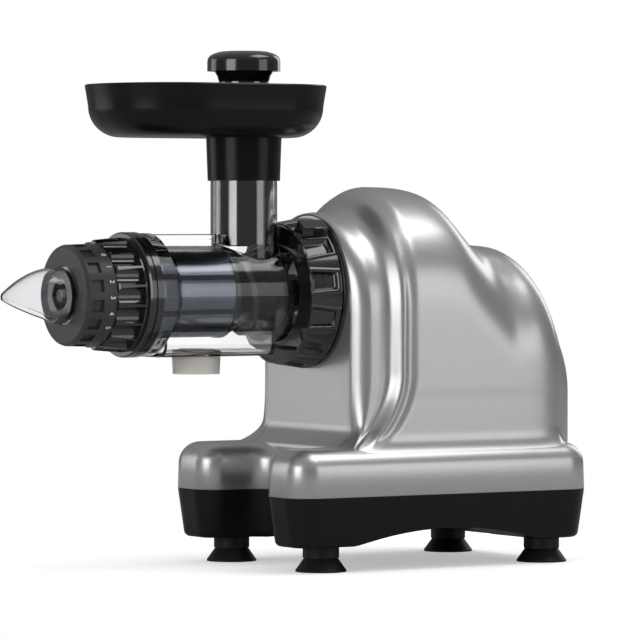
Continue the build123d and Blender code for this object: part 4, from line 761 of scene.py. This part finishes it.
# ---------------------------------------------------------------- drum socket and lock ring
# The socket is screwed through the panel to the gearbox. The ring turns on it to pull the drum home.
# Both are moulded in glossy black ABS.
lacquer = {"Coat Weight": 0.8, "Coat Roughness": 0.07, "Coat IOR": 1.7}
gloss_black = moulded("gloss_black", (0.0045, 0.0045, 0.0055), 0.2, 0.07, 0.2, 1600, 0.00001, lacquer)
dress(gloss_black, "drum_socket")
# The ring's cone ends in a dished face and a short neck round the drum
ring_low, ring_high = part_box("drum_lock_ring")
ring_nose, ring_back = ring_low.x - panel_x, ring_high.x - panel_x
ring_front, dish_back = ring_nose + 0.0011, ring_nose + 0.0003
ring_nose_r, ring_front_r, ring_r, neck_r, ring_bore = 0.034, 0.046, 0.0493, 0.0319, 0.041
dish_r, neck_len, ring_edge, ring_chamfer = ring_nose_r + 0.002, 0.0036, 0.0006, 0.0004
# Thumb rib, and twelve finger pockets that taper towards the panel inside a raised rim
rib_r, rib_half, rib_angle, rib_slope = 0.0554, 0.0045, math.radians(90 + 34.5), 0.0008
rib_front, rib_back = ring_front + 0.0005, ring_back - 0.002
pocket_front, pocket_back, pocket_pitch = ring_front + 0.0008, ring_back - 0.0026, math.radians(30)
pocket_half, pocket_taper, pocket_depth, pocket_slope = 0.0072, 0.0012, 0.0032, 0.0022
rim_height, rim_offset, rim_w = 0.0004, 0.0008, 0.0009


def ring_radius(x, angle):
    """Outside of the lock ring: a cone with twelve finger pockets and one thumb rib."""
    radius = ring_front_r + (ring_r - ring_front_r) * (x - ring_front) / (ring_back - ring_front)
    from_rib = math.remainder(angle - rib_angle, 2 * math.pi)
    rib_edge = min(rib_half - abs(from_rib) * radius, x - rib_front, rib_back - x)
    from_pocket = math.remainder(from_rib - pocket_pitch / 2, pocket_pitch) * radius
    along = (x - pocket_front) / (pocket_back - pocket_front)
    half = pocket_half - pocket_taper * along
    edge = min(half - abs(from_pocket), x - pocket_front, pocket_back - x)
    radius += rim_height * math.exp(-(((edge + rim_offset) / rim_w) ** 2))
    radius -= pocket_depth * smooth(edge / pocket_slope)
    return radius + (rib_r - radius) * smooth(0.5 + rib_edge / rib_slope)


def ring_loop(x, radius=None):
    """Points once round the ring, at one radius or on the gripped outside."""
    spots = [(radius or ring_radius(x, angle), angle) for angle in around]
    return [(panel_x + x, r * math.cos(angle), axis_z + r * math.sin(angle)) for r, angle in spots]


def loft(shape, loops):
    """Joins closed loops of points with quads and returns the first and the last."""
    made = [[shape.verts.new(point) for point in loop] for loop in loops]
    for loop_a, loop_b in zip(made, made[1:]):
        closed_strip(shape, loop_a, loop_b)
    return made[0], made[-1]


def sharpen(shape, limit=0.6):
    """Turns all faces outwards and keeps edges sharp where the surface bends by more than the limit."""
    bmesh.ops.recalc_face_normals(shape, faces=shape.faces)
    for edge in shape.edges:
        edge.smooth = len(edge.link_faces) < 2 or edge.calc_face_angle() < limit


around_steps, grip_steps = 720, 44
around = [math.radians(360 * step / around_steps) for step in range(around_steps)]
grip_len = ring_back - ring_edge - ring_front
profile = [(ring_back, ring_bore), (ring_back, ring_r - ring_edge)]
profile += [(ring_front + grip_len * step / grip_steps, None) for step in range(grip_steps, -1, -1)]
profile += [(ring_front - ring_chamfer, ring_front_r - 2 * ring_chamfer)]
profile += [(ring_front + ring_chamfer, ring_front_r - 0.002), (dish_back, dish_r)]
profile += [(ring_nose, ring_nose_r), (ring_nose, neck_r), (ring_nose + neck_len, neck_r)]
profile += [(ring_nose + neck_len + 0.0001, ring_bore), (ring_back, ring_bore)]
shape = bmesh.new()
loft(shape, [ring_loop(x, radius) for x, radius in profile])
bmesh.ops.remove_doubles(shape, verts=shape.verts, dist=1e-7)
sharpen(shape)
ring_grip = as_piece("ring_grip", shape, gloss_black)
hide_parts("drum_lock_ring")
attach(ring_grip, "lock_ring")


# ---------------------------------------------------------------- drum and juice spout
# The drum is one clear moulding with chute, web, flanges and sump. The spout is welded under it,
# in the same plastic with a frosted skin.
def clear(name, colour, gloss, haze):
    """Clear moulded plastic with faint flow lines."""
    shader = {"Transmission Weight": 1.0 - haze, "IOR": 1.45}
    skin = {"Colour": (*colour, 1), "Cloud": 0.04, "Gloss": gloss, "Uneven": 0.03, "Grain Scale": 600}
    return finished(name, moulded_skin, skin, shader, 0.3, 0.00001)


drum_clear = clear("drum_clear", (0.97, 0.975, 0.98), 0.03, 0.0)
spout_frost = clear("spout_frost", (0.86, 0.83, 0.78), 0.4, 0.4)
dress(drum_clear, "drum")
dress(spout_frost, "juice_spout")

# ---------------------------------------------------------------- screen
# A smoky frame of rings and ribs, moulded round a sleeve of finely perforated steel.
screen_smoke = moulded("screen_smoke", (0.012, 0.014, 0.019), 0.18)
dress(screen_smoke, "screen_frame")
strainer_steel = metal("strainer_steel", (0.2, 0.22, 0.265), 0.3, 3000, 0.00001)
dress(strainer_steel, "screen_mesh")

# ---------------------------------------------------------------- auger
# The slow screw that presses the fruit: moulded in dark grey plastic with one flight.
auger_grey = moulded("auger_grey", (0.016, 0.018, 0.023), 0.22)
dress(auger_grey, "auger")

# ---------------------------------------------------------------- drum cap, dial and nozzle
# The cap closes the drum with a bayonet. The dial on its neck sets the back pressure, and the clear
# nozzle clips over its hub and throws the pulp down.
dress(gloss_black, "drum_cap")
dial_black = moulded("dial_black", (0.038, 0.038, 0.041), 0.38, 0.06, 0.15, 1500, 0.00002)
dress(dial_black, "adjusting_dial")
number_paint = moulded("number_paint", (0.72, 0.72, 0.72), 0.5, 0.1, 0.2, 2500, 0.00001)
# The numbers 0 to 5 printed round the dial, a fixed pitch apart (degrees)
number_x, number_r, number_pitch, first_turn = panel_x - 0.1643, 0.03296, 18.0, 52.0
backward = Vector((1, 0, 0))
for digit in range(6):
    turn = math.radians(first_turn - number_pitch * digit)
    outward = Vector((0, -math.cos(turn), math.sin(turn)))
    facing = Matrix((backward.cross(outward), backward, outward)).transposed().to_4x4()
    text = bpy.data.curves.new(f"dial_number_{digit}", "FONT")
    text.body = str(digit)
    text.size = 0.0046
    text.offset = 0.00006
    text.extrude = 0.00004
    text.align_x = "CENTER"
    text.align_y = "CENTER"
    number = bpy.data.objects.new(f"dial_number_{digit}", text)
    place = Vector((number_x, 0, axis_z)) + outward * number_r
    number.matrix_world = Matrix.Translation(place) @ facing
    bpy.context.collection.objects.link(number)
    text.materials.append(number_paint)
    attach(number, "dial")
nozzle_clear = clear("nozzle_clear", (0.95, 0.95, 0.965), 0.04, 0.0)
dress(nozzle_clear, "outlet_nozzle")

# ---------------------------------------------------------------- hopper tray and pusher
# A wide oval tray whose collar slips over the chute, and a hollow pusher with a mushroom cap,
# in satin and glossy black ABS.
satin = {"Specular IOR Level": 0.25}
tray_black = moulded("tray_black", (0.0045, 0.0045, 0.005), 0.24, 0.05, 0.2, 1500, 0.000012, satin)
tray_low, tray_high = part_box("hopper_tray")
tray_centre = (tray_low.x + tray_high.x) / 2
tray_half, tray_half_w, tray_corner = (tray_high.x - tray_low.x) / 2, tray_high.y, 0.054
floor_z, tray_wall, tray_lean, edge_r, rim_r = 0.280, 0.0022, 0.0022, 0.020, 0.0008
# Collar: a sleeve over the chute, a ledge that sits on the chute's top edge, and the throat above it
chute_centre, throat_r, sleeve_r = panel_x - 0.0483, 0.01975, 0.02205
collar_r, collar_foot_r = 0.0246, 0.0236
sleeve_top, throat_edge = floor_z - 0.0007, 0.0006
quarter_steps, throat_steps, edge_steps = 24, 64, 16


def oval_ring(inset, z):
    """Plan of the tray, a long block with round corners."""
    points = []
    for step in range(4 * (quarter_steps + 1)):
        corner, part = divmod(step, quarter_steps + 1)
        turn = math.radians(90 * corner + 90 * part / quarter_steps)
        x = (tray_half - tray_corner) * (1, -1, -1, 1)[corner] + (tray_corner - inset) * math.cos(turn)
        y = (tray_half_w - tray_corner) * (1, 1, -1, -1)[corner] + (tray_corner - inset) * math.sin(turn)
        points.append((tray_centre + x, y, z))
    return points


def round_ring(radius, z):
    """A circle round the chute's centre line."""
    turns = [2 * math.pi * step / throat_steps for step in range(throat_steps)]
    return [(chute_centre + radius * math.cos(turn), radius * math.sin(turn), z) for turn in turns]


def tray_side(wall):
    """Rings of one face of the wall, from the floor round the edge and up to the rim."""
    radius, rings = edge_r - wall, []
    for step in range(edge_steps + 1):
        turn = math.radians(90 - 90 * step / edge_steps)
        inset = wall + tray_lean + radius * (1 - math.cos(turn))
        rings.append((inset, floor_z + wall + radius * (1 - math.sin(turn))))
    middle = (wall + tray_lean / 2, (floor_z + edge_r + tray_high.z) / 2)
    return rings + [middle, (wall, tray_high.z - rim_r)]


shape = bmesh.new()
profile = tray_side(0.0) + [(rim_r, tray_high.z), (tray_wall - rim_r, tray_high.z)]
profile += tray_side(tray_wall)[::-1]
under, upper = loft(shape, [oval_ring(inset, z) for inset, z in profile])
profile = [(collar_r, floor_z), (collar_foot_r, tray_low.z), (sleeve_r, tray_low.z), (sleeve_r, sleeve_top)]
profile += [(throat_r, sleeve_top), (throat_r, floor_z + tray_wall - throat_edge)]
profile += [(throat_r + throat_edge, floor_z + tray_wall)]
neck, mouth = loft(shape, [round_ring(radius, z) for radius, z in profile])
fill_between(shape, under, neck, (0, 0, -1))
fill_between(shape, upper, mouth, (0, 0, 1))
sharpen(shape)
tray_shell = as_piece("tray_shell", shape, tray_black)
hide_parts("hopper_tray")
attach(tray_shell, "hopper")
shine = {"Coat Weight": 1.0, "Coat Roughness": 0.05, "Coat IOR": 2.0, "Specular IOR Level": 0.8}
pusher_gloss = moulded("pusher_gloss", (0.004, 0.004, 0.005), 0.1, 0.03, 0.1, 1600, 0.000004, shine)
dress(pusher_gloss, "pusher_body")
dress(gloss_black, "pusher_knob")
